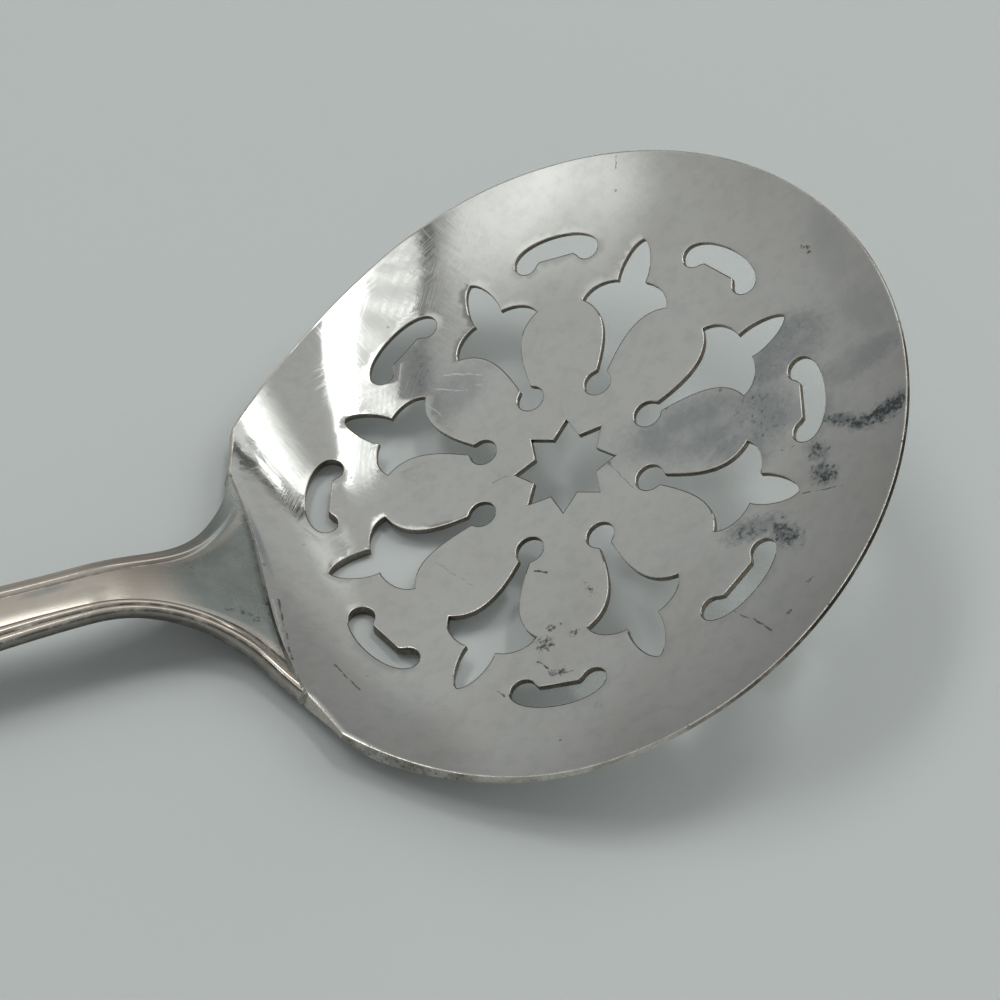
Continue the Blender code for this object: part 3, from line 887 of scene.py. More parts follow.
class PlateMaterial:
    """Builds the node material of a plate finish."""

    cloud_edge = {"Low": 0.38, "High": 0.68}
    mottle_edge = {"Low": 0.42, "High": 0.7}
    mottle_fineness = 9.0
    mottle_share = 0.3
    hair_scale = 900.0
    hair_scale_step = 260.0
    hair_run = {"Length": 45.0, "Cover": 0.5}
    spot_grain = 1500.0
    haze_noise = (260.0, 5.0, 0.68)
    haze_ease = (0.3, 0.6, 0.55, 1.1)
    grime_flecks = (1500.0, 0.3)
    spot_flecks = (2100.0, 0.3)
    pit_flecks = (1900.0, 0.42)
    fleck_noise = (5.0, 0.72)
    fleck_edge = (0.40, 0.60)
    fleck_share = 0.85
    recess_noise = (300.0, 4.0, 0.55)
    recess_edge = (0.30, 0.62)
    recess_power = 3.0
    # Unevenness of the grime and painted shade stored on the mesh.
    dirt_and_shade_noise = (700.0, 4.0, 0.6)
    dirt_and_shade_ease = (0.34, 0.56, 0.45, 1.0)
    fresh_silver = (0.97, 0.96, 0.93)
    dull_rough = 0.12
    scratch_rough = 0.25
    pit_rough = 0.35
    sleek_stretch = (0.22, 1.0, 1.0)
    sleek_noise = (850.0, 2.0, 0.5)
    grain_noise = (2600.0, 3.0, 0.6)

    def __init__(self, finish: PlateFinish, place: Callable[[float, float], Vector]) -> None:
        """Keeps the finish and the call that turns plan millimetres into a point of the face.

        Args:
            finish: the look to build.
            place: point of the blade's or the handle's top face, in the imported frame.
        """
        self.finish = finish
        self.place = place
        self.material = bpy.data.materials.new(finish.name)
        self.material.use_nodes = True
        self.sheet = NodeSheet(self.material.node_tree)
        self.vector = self.sheet.add("TexCoord").outputs["Object"]

    def largest(self, masks: list[Any]) -> Any:
        """Joins masks.

        Args:
            masks: one or more masks.

        Returns:
            The strongest of them at each place.
        """
        mask = masks[0]
        for other in masks[1:]:
            mask = self.sheet.math("MAXIMUM", mask, other)
        return mask

    def spots(self, spots: tuple[Spot, ...]) -> tuple[Any, Any]:
        """Lays out placed patches.

        Args:
            spots: the patches.

        Returns:
            Masks of their haze and of their flecks.
        """
        hazes, flecks = [], []
        for spot in spots:
            inputs = {"Vector": self.vector, "Centre": self.place(spot.u, spot.v), "Turn": spot.turn}
            inputs |= {"Reach": (spot.along * MM, spot.across * MM, 1.0)}
            inputs |= {"Ragged": spot.ragged, "Grain": self.spot_grain}
            mask = self.sheet.effect(Effect.SPOT, inputs)
            hazes.append(self.sheet.times(mask, spot.haze))
            if spot.flecks:
                flecks.append(self.sheet.times(mask, spot.flecks))
        return self.largest(hazes), self.largest(flecks) if flecks else None

    def flecks(self, patch: Any, scale: float, lift: float) -> Any:
        """Dark crackled flecks, closer together where a patch is strong.

        Args:
            patch: mask of the tarnished patches.
            scale: fineness of the flecks.
            lift: how sharply they gather in the patch.

        Returns:
            The flecks' mask.
        """
        sheet = self.sheet
        coarse = sheet.noise(self.vector, scale, *self.fleck_noise)
        lifted = sheet.plus(coarse, sheet.times(sheet.minus(patch, 1.0), lift))
        return sheet.times(sheet.ease(lifted, *self.fleck_edge), self.fleck_share)

    def scores(self, scores: tuple[Score, ...]) -> Any:
        """Lays out placed scratches.

        Args:
            scores: the scratches.

        Returns:
            Their mask.
        """
        masks = []
        for score in scores:
            start, end = self.place(*score.start), self.place(*score.end)
            inputs = {"Vector": self.vector, "Start": start, "Along": (end - start).normalized()}
            inputs |= {"Length": (end - start).length, "Width": score.width * MM}
            mask = self.sheet.effect(Effect.SCORE, inputs)
            masks.append(self.sheet.times(mask, score.strength))
        return self.largest(masks)

    def hairs(self) -> Any:
        """Hairline scratches, which run several ways.

        Returns:
            Their mask.
        """
        lines = []
        for k, angle in enumerate(self.finish.hairline_angles):
            scale = self.hair_scale + self.hair_scale_step * k
            inputs = {"Vector": self.vector, "Angle": angle, "Scale": scale}
            lines.append(self.sheet.effect(Effect.HAIRLINES, inputs | self.hair_run))
        return self.largest(lines)

    def painted(self, name: str) -> Any:
        """Value painted on the mesh under a name."""
        return self.sheet.add("Attribute", attribute_name=name).outputs["Fac"]

    def tarnished(self, cloud: Any, mottle: Any) -> tuple[Any, Any]:
        """Silver with its tarnish, its flecks, the grime of its recesses, and the grime and painted shade
        held on the mesh.

        Args:
            cloud: mask of broad patches.
            mottle: mask of fine patches.

        Returns:
            The colour, and the mask of the dull tarnish.
        """
        f, sheet, vector = self.finish, self.sheet, self.vector
        colour = sheet.blend(sheet.times(cloud, f.cloud_depth), f.silver, f.warm)
        flecks = self.flecks(f.grime, *self.grime_flecks) if f.grime else None
        dull = sheet.times(mottle, f.mottle * self.mottle_share)
        if f.tarnish_spots:
            haze, gathered = self.spots(f.tarnish_spots)
            uneven = sheet.ease(sheet.noise(vector, *self.haze_noise), *self.haze_ease)
            haze = sheet.times(haze, uneven)
            dull = sheet.math("MAXIMUM", sheet.times(haze, f.spot_haze), dull)
            flecks = self.flecks(gathered, *self.spot_flecks) if gathered else None
        if f.recess_name:
            recess = self.painted(f.recess_name)
            patchy = sheet.noise(vector, *self.recess_noise)
            broken = sheet.ease(patchy, *self.recess_edge, f.recess_even, 1.0)
            dull = sheet.math("MAXIMUM", dull, sheet.times(recess, broken))
            depth = sheet.times(sheet.math("POWER", recess, self.recess_power), f.recess_dark)
        colour = sheet.blend(dull, colour, f.tarnish)
        if flecks:
            colour = sheet.blend(flecks, colour, f.fleck)
        if f.recess_name:
            colour = sheet.blend(sheet.times(depth, broken), colour, f.dirt_and_shade)
        # The value stored on the mesh adds grime and painted shade: the handle's side darker towards the
        # bottom and under its rounding, and the field at the seam's crease.
        if f.dirt_and_shade_name:
            uneven = sheet.ease(sheet.noise(vector, *self.dirt_and_shade_noise), *self.dirt_and_shade_ease)
            colour = sheet.blend(sheet.times(self.painted(f.dirt_and_shade_name), uneven), colour, f.dirt_and_shade)
        return colour, dull

    def build(self) -> bpy.types.Material:
        """Lays out colour, roughness and relief.

        Returns:
            The finished material.
        """
        f, sheet, vector = self.finish, self.sheet, self.vector
        broad = {"Vector": vector, "Scale": f.cloud_scale}
        cloud = sheet.effect(Effect.CLOUD, broad | self.cloud_edge)
        fine = {"Vector": vector, "Scale": f.cloud_scale * self.mottle_fineness}
        colour, dull = self.tarnished(cloud, sheet.effect(Effect.CLOUD, fine | self.mottle_edge))
        hairs = self.hairs()
        light = sheet.times(hairs, f.hairline_light)
        if f.bright_scores:
            light = sheet.math("MAXIMUM", light, self.scores(f.bright_scores))
        colour = sheet.blend(light, colour, self.fresh_silver)
        pits = {"Vector": vector, "Scale": f.pit_scale, "Size": f.pit_size, "Share": f.pit_share}
        dark = sheet.times(sheet.effect(Effect.PITS, pits), f.pit_dark)
        if f.pit_spots:
            gathered = self.spots(f.pit_spots)[0]
            dark = sheet.math("MAXIMUM", dark, self.flecks(gathered, *self.pit_flecks))
        if f.dark_scores:
            dark = sheet.math("MAXIMUM", dark, self.scores(f.dark_scores))
        colour = sheet.blend(dark, colour, f.dirt_and_shade)
        rough = sheet.plus(sheet.times(cloud, f.haze), f.roughness)
        rough = sheet.plus(rough, sheet.times(dull, self.dull_rough))
        rough = sheet.plus(rough, sheet.times(light, self.scratch_rough))
        rough = sheet.plus(rough, sheet.times(dark, self.pit_rough), clamp=True)
        shader = self.material.node_tree.nodes["Principled BSDF"]
        shader.inputs["Metallic"].default_value = 1.0
        sheet.feed(shader.inputs["Base Color"], colour)
        sheet.feed(shader.inputs["Roughness"], rough)
        sheet.feed(shader.inputs["Normal"], self.relief(hairs, dark))
        return self.material

    def relief(self, hairs: Any, dark: Any) -> Any:
        """Normal with polishing sleeks, hairlines, grain and pits.

        Args:
            hairs: mask of the hairlines.
            dark: mask of pits and dark scratches.

        Returns:
            The normal's socket.
        """
        f, sheet, vector = self.finish, self.sheet, self.vector
        turn = {"Vector": vector, "Angle": f.sleek_angle}
        turned = sheet.add("VectorRotate", turn, rotation_type="Z_AXIS").outputs[0]
        drawn = sheet.vector("MULTIPLY", turned, self.sleek_stretch).outputs[0]
        sleek = sheet.times(sheet.noise(drawn, *self.sleek_noise), f.sleek_depth)
        grain = sheet.times(sheet.noise(vector, *self.grain_noise), f.grain_depth)
        height = sheet.plus(sleek, grain)
        height = sheet.minus(height, sheet.times(hairs, f.hairline_depth))
        height = sheet.minus(height, sheet.times(dark, f.pit_depth))
        return sheet.add("Bump", {"Strength": 1.0, "Distance": 1.0, "Height": height}).outputs[0]


BLADE_FACE = PlateFinish(
    name="blade_face",
    tarnish_spots=(
        Spot(25.9, -15.0, 2.6, 1.0, -0.97, 0.9, 1.0),
        Spot(27.6, -17.0, 1.9, 1.2, -0.5, 0.95, 1.1),
        Spot(30.2, -17.7, 2.9, 1.7, -0.1, 1.1, 1.2),
        Spot(22.6, -16.4, 1.3, 2.2, 0.1, 0.8, 0.95),
        Spot(21.9, -19.2, 1.5, 2.2, 0.2, 0.85, 1.05),
        Spot(13.6, -19.8, 3.8, 2.0, -0.35, 0.85, 0.75),
        Spot(15.9, -22.6, 1.6, 3.0, 0.15, 0.8, 1.0),
        Spot(13.5, -5.0, 11.0, 5.5, -0.45, 0.85, 0.0, 0.5),
        Spot(16.5, -10.5, 5.0, 3.6, -0.7, 0.85, 0.45, 0.6),
        Spot(22.5, -3.8, 4.0, 3.5, -0.3, 0.85, 0.5, 0.6),
        Spot(19.5, -8.5, 4.5, 6.5, 0.0, 0.8, 0.62, 0.7),
        Spot(25.5, -3.0, 5.5, 4.5, -0.3, 0.85, 0.52, 0.7),
        Spot(23.5, -11.5, 5.0, 2.6, -0.6, 0.5, 0.0, 0.7),
        Spot(-9.4, 20.6, 1.9, 4.2, -0.2, 0.55, 0.62),
        Spot(-6.5, 15.8, 5.0, 3.5, 0.3, 0.5, 0.0, 0.7),
        Spot(30.1, -10.4, 6.5, 2.6, -0.20, 0.62, 0.3, 0.9),
        # The next two spots paint a soft dark band by the rim at the tip: a painted reflection of something
        # dark.
        Spot(34.0, -6.5, 2.6, 6.5, 0.15, 0.36, 0.0, 0.6),
        Spot(34.4, 3.5, 2.0, 7.0, -0.10, 0.28, 0.0, 0.6),
        # This spot paints the soft dark crease along the seam's far half: painted shade.
        Spot(-31.1, 6.0, 0.6, 6.5, 0.03, 0.8, 0.0, 0.3),
    ),
    pit_spots=(
        Spot(-9.6, -18.7, 1.9, 1.6, -0.5, 1.05),
        Spot(-8.4, -17.2, 1.8, 0.8, -0.3, 1.0),
        Spot(-6.6, -19.2, 1.3, 0.9, -0.3, 0.95),
        Spot(-9.4, -22.6, 1.8, 1.0, -0.5, 0.95),
        Spot(-3.2, -15.4, 1.2, 2.6, 0.2, 0.8),
        Spot(32.3, 4.6, 0.8, 1.6, 0.0, 1.0),
        Spot(-7.2, -28.6, 0.8, 0.8, 0.0, 0.8),
        Spot(-11.8, -30.0, 0.7, 0.9, 0.3, 0.85),
        Spot(12.4, -31.0, 0.8, 0.5, 0.2, 0.95),
        Spot(15.3, -29.2, 1.2, 0.7, 0.4, 0.75),
        Spot(-26.2, -14.2, 0.6, 0.5, 0.0, 0.9),
        Spot(-25.7, -21.9, 0.6, 0.6, 0.0, 0.8),
        Spot(-31.9, -10.7, 0.5, 0.6, 0.0, 1.3, 0.0, 0.4),
    ),
    bright_scores=(
        Score((-7.2, 18.7), (-3.4, 16.2), 0.15, 0.6),
        Score((-4.9, 15.7), (-3.3, 14.6), 0.12, 0.5),
        Score((-8.8, 17.5), (-5.8, 15.4), 0.15, 0.55),
        Score((-10.2, 16.0), (-9.4, 13.9), 0.13, 0.45),
        # This score paints the light strip along the seam's near half: painted highlight.
        Score((-31.6, -2.5), (-31.9, -10.5), 0.22, 0.5),
        Score((26.6, -12.6), (32.6, -15.2), 0.9, 0.16),
        Score((28.0, -14.2), (32.9, -16.0), 0.5, 0.12),
    ),
    dark_scores=(
        Score((-7.5, -9.9), (-6.5, -10.8), 0.17, 0.85),
        Score((-28.5, -12.1), (-27.2, -15.9), 0.17, 0.75),
        Score((-10.9, -20.4), (-10.1, -21.6), 0.13, 0.9),
        Score((-10.1, -21.6), (-10.3, -22.6), 0.13, 0.9),
        Score((-10.3, -22.6), (-8.1, -23.3), 0.12, 0.7),
        Score((-15.5, -21.4), (-15.1, -22.3), 0.14, 0.7),
        Score((21.2, 29.4), (20.5, 28.3), 0.12, 0.6),
        Score((8.1, -27.1), (9.5, -29.5), 0.10, 0.55),
        Score((9.5, -29.5), (10.4, -31.7), 0.13, 0.75),
        Score((19.2, -19.5), (22.7, -21.8), 0.11, 0.7),
        Score((19.7, -13.7), (21.4, -14.4), 0.11, 0.7),
        Score((-7.6, 3.1), (-5.3, 2.5), 0.09, 0.45),
        Score((4.0, -2.3), (5.2, -7.1), 0.09, 0.4),
        Score((-16.3, -3.2), (-13.8, -8.1), 0.08, 0.3),
        # This score draws a dark line along the seam's near half, beside the light strip.
        Score((-31.2, -2.6), (-31.6, -10.7), 0.17, 0.8),
    ),
)
BLADE_BACK = PlateFinish(
    name="blade_back", silver=(0.76, 0.76, 0.735), roughness=0.16, haze=0.16, hairline_light=0.16,
    cloud_depth=0.55, mottle=0.6, pit_share=0.16,
)
LIP = PlateFinish(
    name="rolled_lip", silver=(0.82, 0.79, 0.74), warm=(0.54, 0.49, 0.43), tarnish=(0.22, 0.20, 0.18),
    roughness=0.22, haze=0.12, cloud_scale=420.0, cloud_depth=0.8, mottle=1.0, hairline_light=0.05,
    pit_scale=1500.0, pit_size=0.22, pit_share=0.25, pit_dark=0.6,
)
CUT_EDGE = PlateFinish(
    name="cut_edge", silver=(0.25, 0.225, 0.19), warm=(0.15, 0.125, 0.10), tarnish=(0.08, 0.07, 0.06),
    roughness=0.34, haze=0.15, cloud_scale=300.0, cloud_depth=0.8, mottle=1.4, hairline_light=0.05,
    grain_depth=0.000006, pit_share=0.0, grime=0.62,
)
RIM_EDGE = PlateFinish(
    name="rim_edge", silver=(0.62, 0.60, 0.56), warm=(0.40, 0.37, 0.33), tarnish=(0.075, 0.07, 0.06),
    roughness=0.3, haze=0.2, cloud_scale=260.0, cloud_depth=0.9, mottle=1.0, hairline_light=0.06,
    grain_depth=0.000010, pit_share=0.0, spot_haze=1.0,
    tarnish_spots=(
        # The first spot darkens the rim's edge over the lower right, where it faces the table's shadow:
        # painted shade, with flecks. The second adds dark flecks near the heel.
        Spot(20.0, -20.0, 30.0, 36.0, 0.0, 1.1, 0.62, 0.5),
        Spot(-22.0, -24.0, 16.0, 12.0, 0.0, 0.35, 0.78, 0.9),
    ),
)
# On the handle this finish takes the stored value: darker towards the bottom of the side and under its
# rounding, which is painted shade.
SIDE_EDGE = PlateFinish(
    name="side_edge", silver=(0.56, 0.525, 0.48), warm=(0.38, 0.34, 0.30), tarnish=(0.20, 0.18, 0.16),
    fleck=(0.14, 0.12, 0.105), roughness=0.24, haze=0.16, cloud_scale=120.0, cloud_depth=0.9, mottle=0.8,
    hairline_light=0.06, grain_depth=0.000004, pit_share=0.0, grime=0.33, dirt_and_shade_name="dirt_and_shade",
)
HANDLE_FACE = PlateFinish(
    name="handle_face", silver=(0.86, 0.785, 0.695), warm=(0.74, 0.655, 0.565), tarnish=(0.35, 0.39, 0.38),
    dirt_and_shade=(0.06, 0.052, 0.045), roughness=0.15, haze=0.06, cloud_depth=0.5, sleek_angle=0.0,
    sleek_depth=0.000003, recess_dark=0.1, recess_name="recess", dirt_and_shade_name="dirt_and_shade", pit_share=0.02,
    pit_depth=0.0000008, spot_haze=0.9,
    tarnish_spots=(
        Spot(22.5, 1.4, 3.6, 0.7, 0.0, 0.55, 0.0, 0.8),
        Spot(18.4, -0.2, 2.8, 1.0, 0.0, 0.4, 0.0, 0.8),
        Spot(7.5, 2.6, 0.9, 1.0, 0.0, 1.0, 0.7, 0.8),
        Spot(2.9, -4.3, 2.6, 0.6, -0.95, 1.0, 0.85, 0.6),
    ),
    pit_spots=(
        Spot(4.2, -3.6, 2.8, 0.55, -0.4, 0.78, 0.0, 0.9),
        Spot(1.7, -4.9, 1.3, 0.6, -0.4, 0.9, 0.0, 0.9),
        Spot(6.9, 3.2, 0.5, 0.8, 0.0, 0.82, 0.0, 0.9),
        Spot(0.7, -4.0, 0.35, 3.6, 0.0, 0.92, 0.0, 0.4),
    ),
    hairline_angles=(0.02, 0.12, -0.1, 1.5),
)
HANDLE_BACK = PlateFinish(
    name="handle_back", silver=(0.76, 0.76, 0.735), roughness=0.17, haze=0.16, hairline_light=0.15,
    cloud_depth=0.55, mottle=0.6, sleek_angle=0.0, hairline_angles=(0.02, 0.15, -0.12, 1.2),
)
SOLDER = PlateFinish(
    name="solder", silver=(0.38, 0.38, 0.36), warm=(0.30, 0.29, 0.27), tarnish=(0.07, 0.075, 0.07),
    fleck=(0.04, 0.045, 0.045), roughness=0.24, haze=0.2, cloud_scale=400.0, cloud_depth=0.6, mottle=0.8,
    hairline_light=0.04, grain_depth=0.000006, pit_scale=1500.0, pit_size=0.3, pit_share=0.3, pit_dark=0.5,
    tarnish_spots=(Spot(-31.8, -5.5, 3.0, 7.0, 0.0, 1.0, 0.0, 0.4),), spot_haze=1.0,
)


class LoopMesh:
    """A bmesh grown from loops of vertices, with a plan order kept on every loop."""

    def __init__(self) -> None:
        """Starts empty."""
        self.bm = bmesh.new()

    def ring(self, points: list[Vector]) -> Loop:
        """New closed loop of vertices and edges.

        Args:
            points: its places, in order.

        Returns:
            The loop's vertices.
        """
        verts = [self.bm.verts.new(p) for p in points]
        for a, b in zip(verts, verts[1:] + verts[:1]):
            self.bm.edges.new((a, b))
        return verts

    def grow(self, loop: Loop, points: list[Vector], slots: int | list[int]) -> Loop:
        """Extrudes a loop to new places.

        Args:
            loop: vertices in order.
            points: their places after the extrusion.
            slots: material slot of the strip, or one for each of its faces.

        Returns:
            The new loop, in the same order.
        """
        edges = [self.bm.edges.get((a, b)) for a, b in zip(loop, loop[1:] + loop[:1])]
        made = bmesh.ops.extrude_edge_only(self.bm, edges=edges)["geom"]
        new = {g for g in made if isinstance(g, bmesh.types.BMVert)}
        strip = {g for g in made if isinstance(g, bmesh.types.BMFace)}
        for i, edge in enumerate(edges):
            for face in edge.link_faces:
                if face in strip:
                    face.material_index = slots if isinstance(slots, int) else slots[i]
        grown = []
        for vert, place in zip(loop, points):
            partner = next(v for v in (e.other_vert(vert) for e in vert.link_edges) if v in new)
            partner.co = place
            grown.append(partner)
        return grown

    def cap(self, loop: Loop, slot: int) -> None:
        """Closes a loop with faces.

        Args:
            loop: vertices in order.
            slot: material slot of the faces.
        """
        edges = [self.bm.edges.get((a, b)) for a, b in zip(loop, loop[1:] + loop[:1])]
        for face in bmesh.ops.edgeloop_fill(self.bm, edges=edges)["faces"]:
            face.material_index = slot

    def finish(self, name: str, materials: Finishes, shift: Vector) -> Piece:
        """Closes seams, points faces outwards and makes the object.

        Args:
            name: name of the piece.
            materials: its material slots.
            shift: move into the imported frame.

        Returns:
            The object, at the origin.
        """
        bm = self.bm
        bmesh.ops.remove_doubles(bm, verts=bm.verts, dist=MERGE_DISTANCE)
        bmesh.ops.dissolve_degenerate(bm, edges=bm.edges, dist=MERGE_DISTANCE)
        bmesh.ops.triangulate(bm, faces=[f for f in bm.faces if len(f.verts) > 4])
        bmesh.ops.recalc_face_normals(bm, faces=bm.faces)
        bmesh.ops.translate(bm, verts=bm.verts, vec=shift)
        mesh = bpy.data.meshes.new(name)
        bm.to_mesh(mesh)
        bm.free()
        obj = bpy.data.objects.new(name, mesh)
        bpy.context.collection.objects.link(obj)
        for material in materials:
            mesh.materials.append(material)
        return obj


class Cut(Enum):
    """How a tool solid works on a piece."""

    JOIN = "UNION"
    SINK = "DIFFERENCE"


class BladeSlot(IntEnum):
    """Material slots of the blade."""

    FACE = 0
    BACK = 1
    CUT = 2
    RIM = 3
    LIP = 4
    HEEL = 5


class HandleSlot(IntEnum):
    """Material slots of the handle."""

    FACE = 0
    SIDE = 1
    BACK = 2


class SolderSlot(IntEnum):
    """Material slots of the solder."""

    FACE = 0
    END = 1


def work(piece: Piece, tool: Piece, cut: Cut) -> None:
    """Joins a tool solid to a piece or sinks it into the piece, then clears the tool away.

    Args:
        piece: object that is changed.
        tool: object that is used up.
        cut: which of the two is done.
    """
    modifier = piece.modifiers.new(cut.name.title(), "BOOLEAN")
    modifier.operation = cut.value
    modifier.solver = "EXACT"
    modifier.object = tool
    bm = bmesh.new()
    bm.from_object(piece, bpy.context.evaluated_depsgraph_get())
    piece.modifiers.clear()
    bm.to_mesh(piece.data)
    bm.free()
    bpy.data.objects.remove(tool)


def shade(piece: Piece, angle: float) -> None:
    """Smooth shading with sharp edges past an angle.

    Args:
        piece: the finished piece.
        angle: turn past which an edge stays sharp.
    """
    piece.data.shade_smooth()
    piece.data.set_sharp_from_angle(angle=angle)
    normals = piece.modifiers.new("normals", "WEIGHTED_NORMAL")
    normals.mode, normals.keep_sharp = "FACE_AREA", True


@dataclass
class LapJoint:
    """Tongue of the blade's heel, let into the underside of the neck, and the solder round it."""

    handle: HandleForm
    length: float = 9.0 * MM
    thickness: float = 0.8 * MM
    inset: float = 1.7 * MM
    tip_half_width: float = 0.4 * MM
    tip_power: int = 4
    root: float = 0.8 * MM
    lift: float = 0.15 * MM
    steps: int = 28
    across: int = 10
    bed_gap: float = 0.05 * MM
    bed_depth: float = 0.26 * MM
    line_gap: float = 0.008 * MM
    line_drop: float = 0.008 * MM
    wander: float = 0.5 * MM
    wander_run: float = 4.0 * MM
    line_depth: float = 0.85 * MM
    line_side_depth: float = 1.85 * MM
    line_steps: int = 80

    def drift(self, v: float, s: float = 0.0) -> float:
        """How far the hand-fitted seam wanders from square, fading along the neck."""
        turn = math.sin(math.pi * v / self.handle.dish.seam_half_width)
        return -self.wander * turn * (1.0 - smooth(s / self.wander_run))

    def bar(
        self, name: str, materials: Finishes, grow: float, depth: float, slot: int, shift: Vector
    ) -> Piece:
        """Bar of the tongue's plan.

        Args:
            name: name of the object.
            materials: its material slots.
            grow: how far it stands out past the tongue.
            depth: height of its lower face above the neck's underside.
            slot: material slot of its faces.
            shift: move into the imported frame.

        Returns:
            The bar as a closed solid.
        """
        form, made = self.handle, LoopMesh()
        length = self.length + grow
        loop = None
        for k in range(self.steps + 1):
            s = lerp(-self.root, length, math.sin(k / self.steps * math.pi / 2))
            along = max(s, 0.0)
            taper = math.sqrt(max(0.0, 1.0 - (along / length) ** self.tip_power))
            w = (form.half_width(along) - self.inset * form.edge_spread(along)) * taper
            w += self.tip_half_width + grow
            top = self.thickness + grow - form.thickness(along)
            bottom = depth - form.thickness(along)
            row = [lerp(-w, w, i / self.across) for i in range(self.across + 1)]
            ring = [form.point(s, v, bottom) for v in row] + [form.point(s, v, top) for v in reversed(row)]
            if loop is None:
                loop = made.ring(ring)
                made.cap(loop, slot)
            else:
                loop = made.grow(loop, ring, slot)
        made.cap(loop, slot)
        return made.finish(name, materials, shift)

    def line(self, top: Callable[[float], Pair], materials: Finishes, shift: Vector) -> Piece:
        """Solder that shows as a dark line across the neck.

        Args:
            top: heights of blade and neck at the seam, over its width.
            materials: finish of the solder and of its ends.
            shift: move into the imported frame.

        Returns:
            The strip between blade and neck.
        """
        form, made = self.handle, LoopMesh()
        w = form.half_width(CLEARANCE / 2)
        tongue = form.half_width(0.0) - self.inset * form.edge_spread(0.0) + self.tip_half_width + CLEARANCE
        near, far = self.line_gap, CLEARANCE - self.line_gap
        loop = None
        for k in range(self.line_steps + 1):
            v = lerp(-w, w, k / self.line_steps)
            face = top(v)
            low = -self.line_depth if abs(v) < tongue else -self.line_side_depth
            corners = [(s, h - self.line_drop) for s, h in zip((near, far), face)] + [(far, low), (near, low)]
            ring = [form.point(s + self.drift(v), v, h) for s, h in corners]
            if loop is None:
                loop = made.ring(ring)
                made.cap(loop, SolderSlot.END)
            else:
                loop = made.grow(loop, ring, SolderSlot.FACE)
        made.cap(loop, SolderSlot.END)
        return made.finish("solder_line", materials, shift)


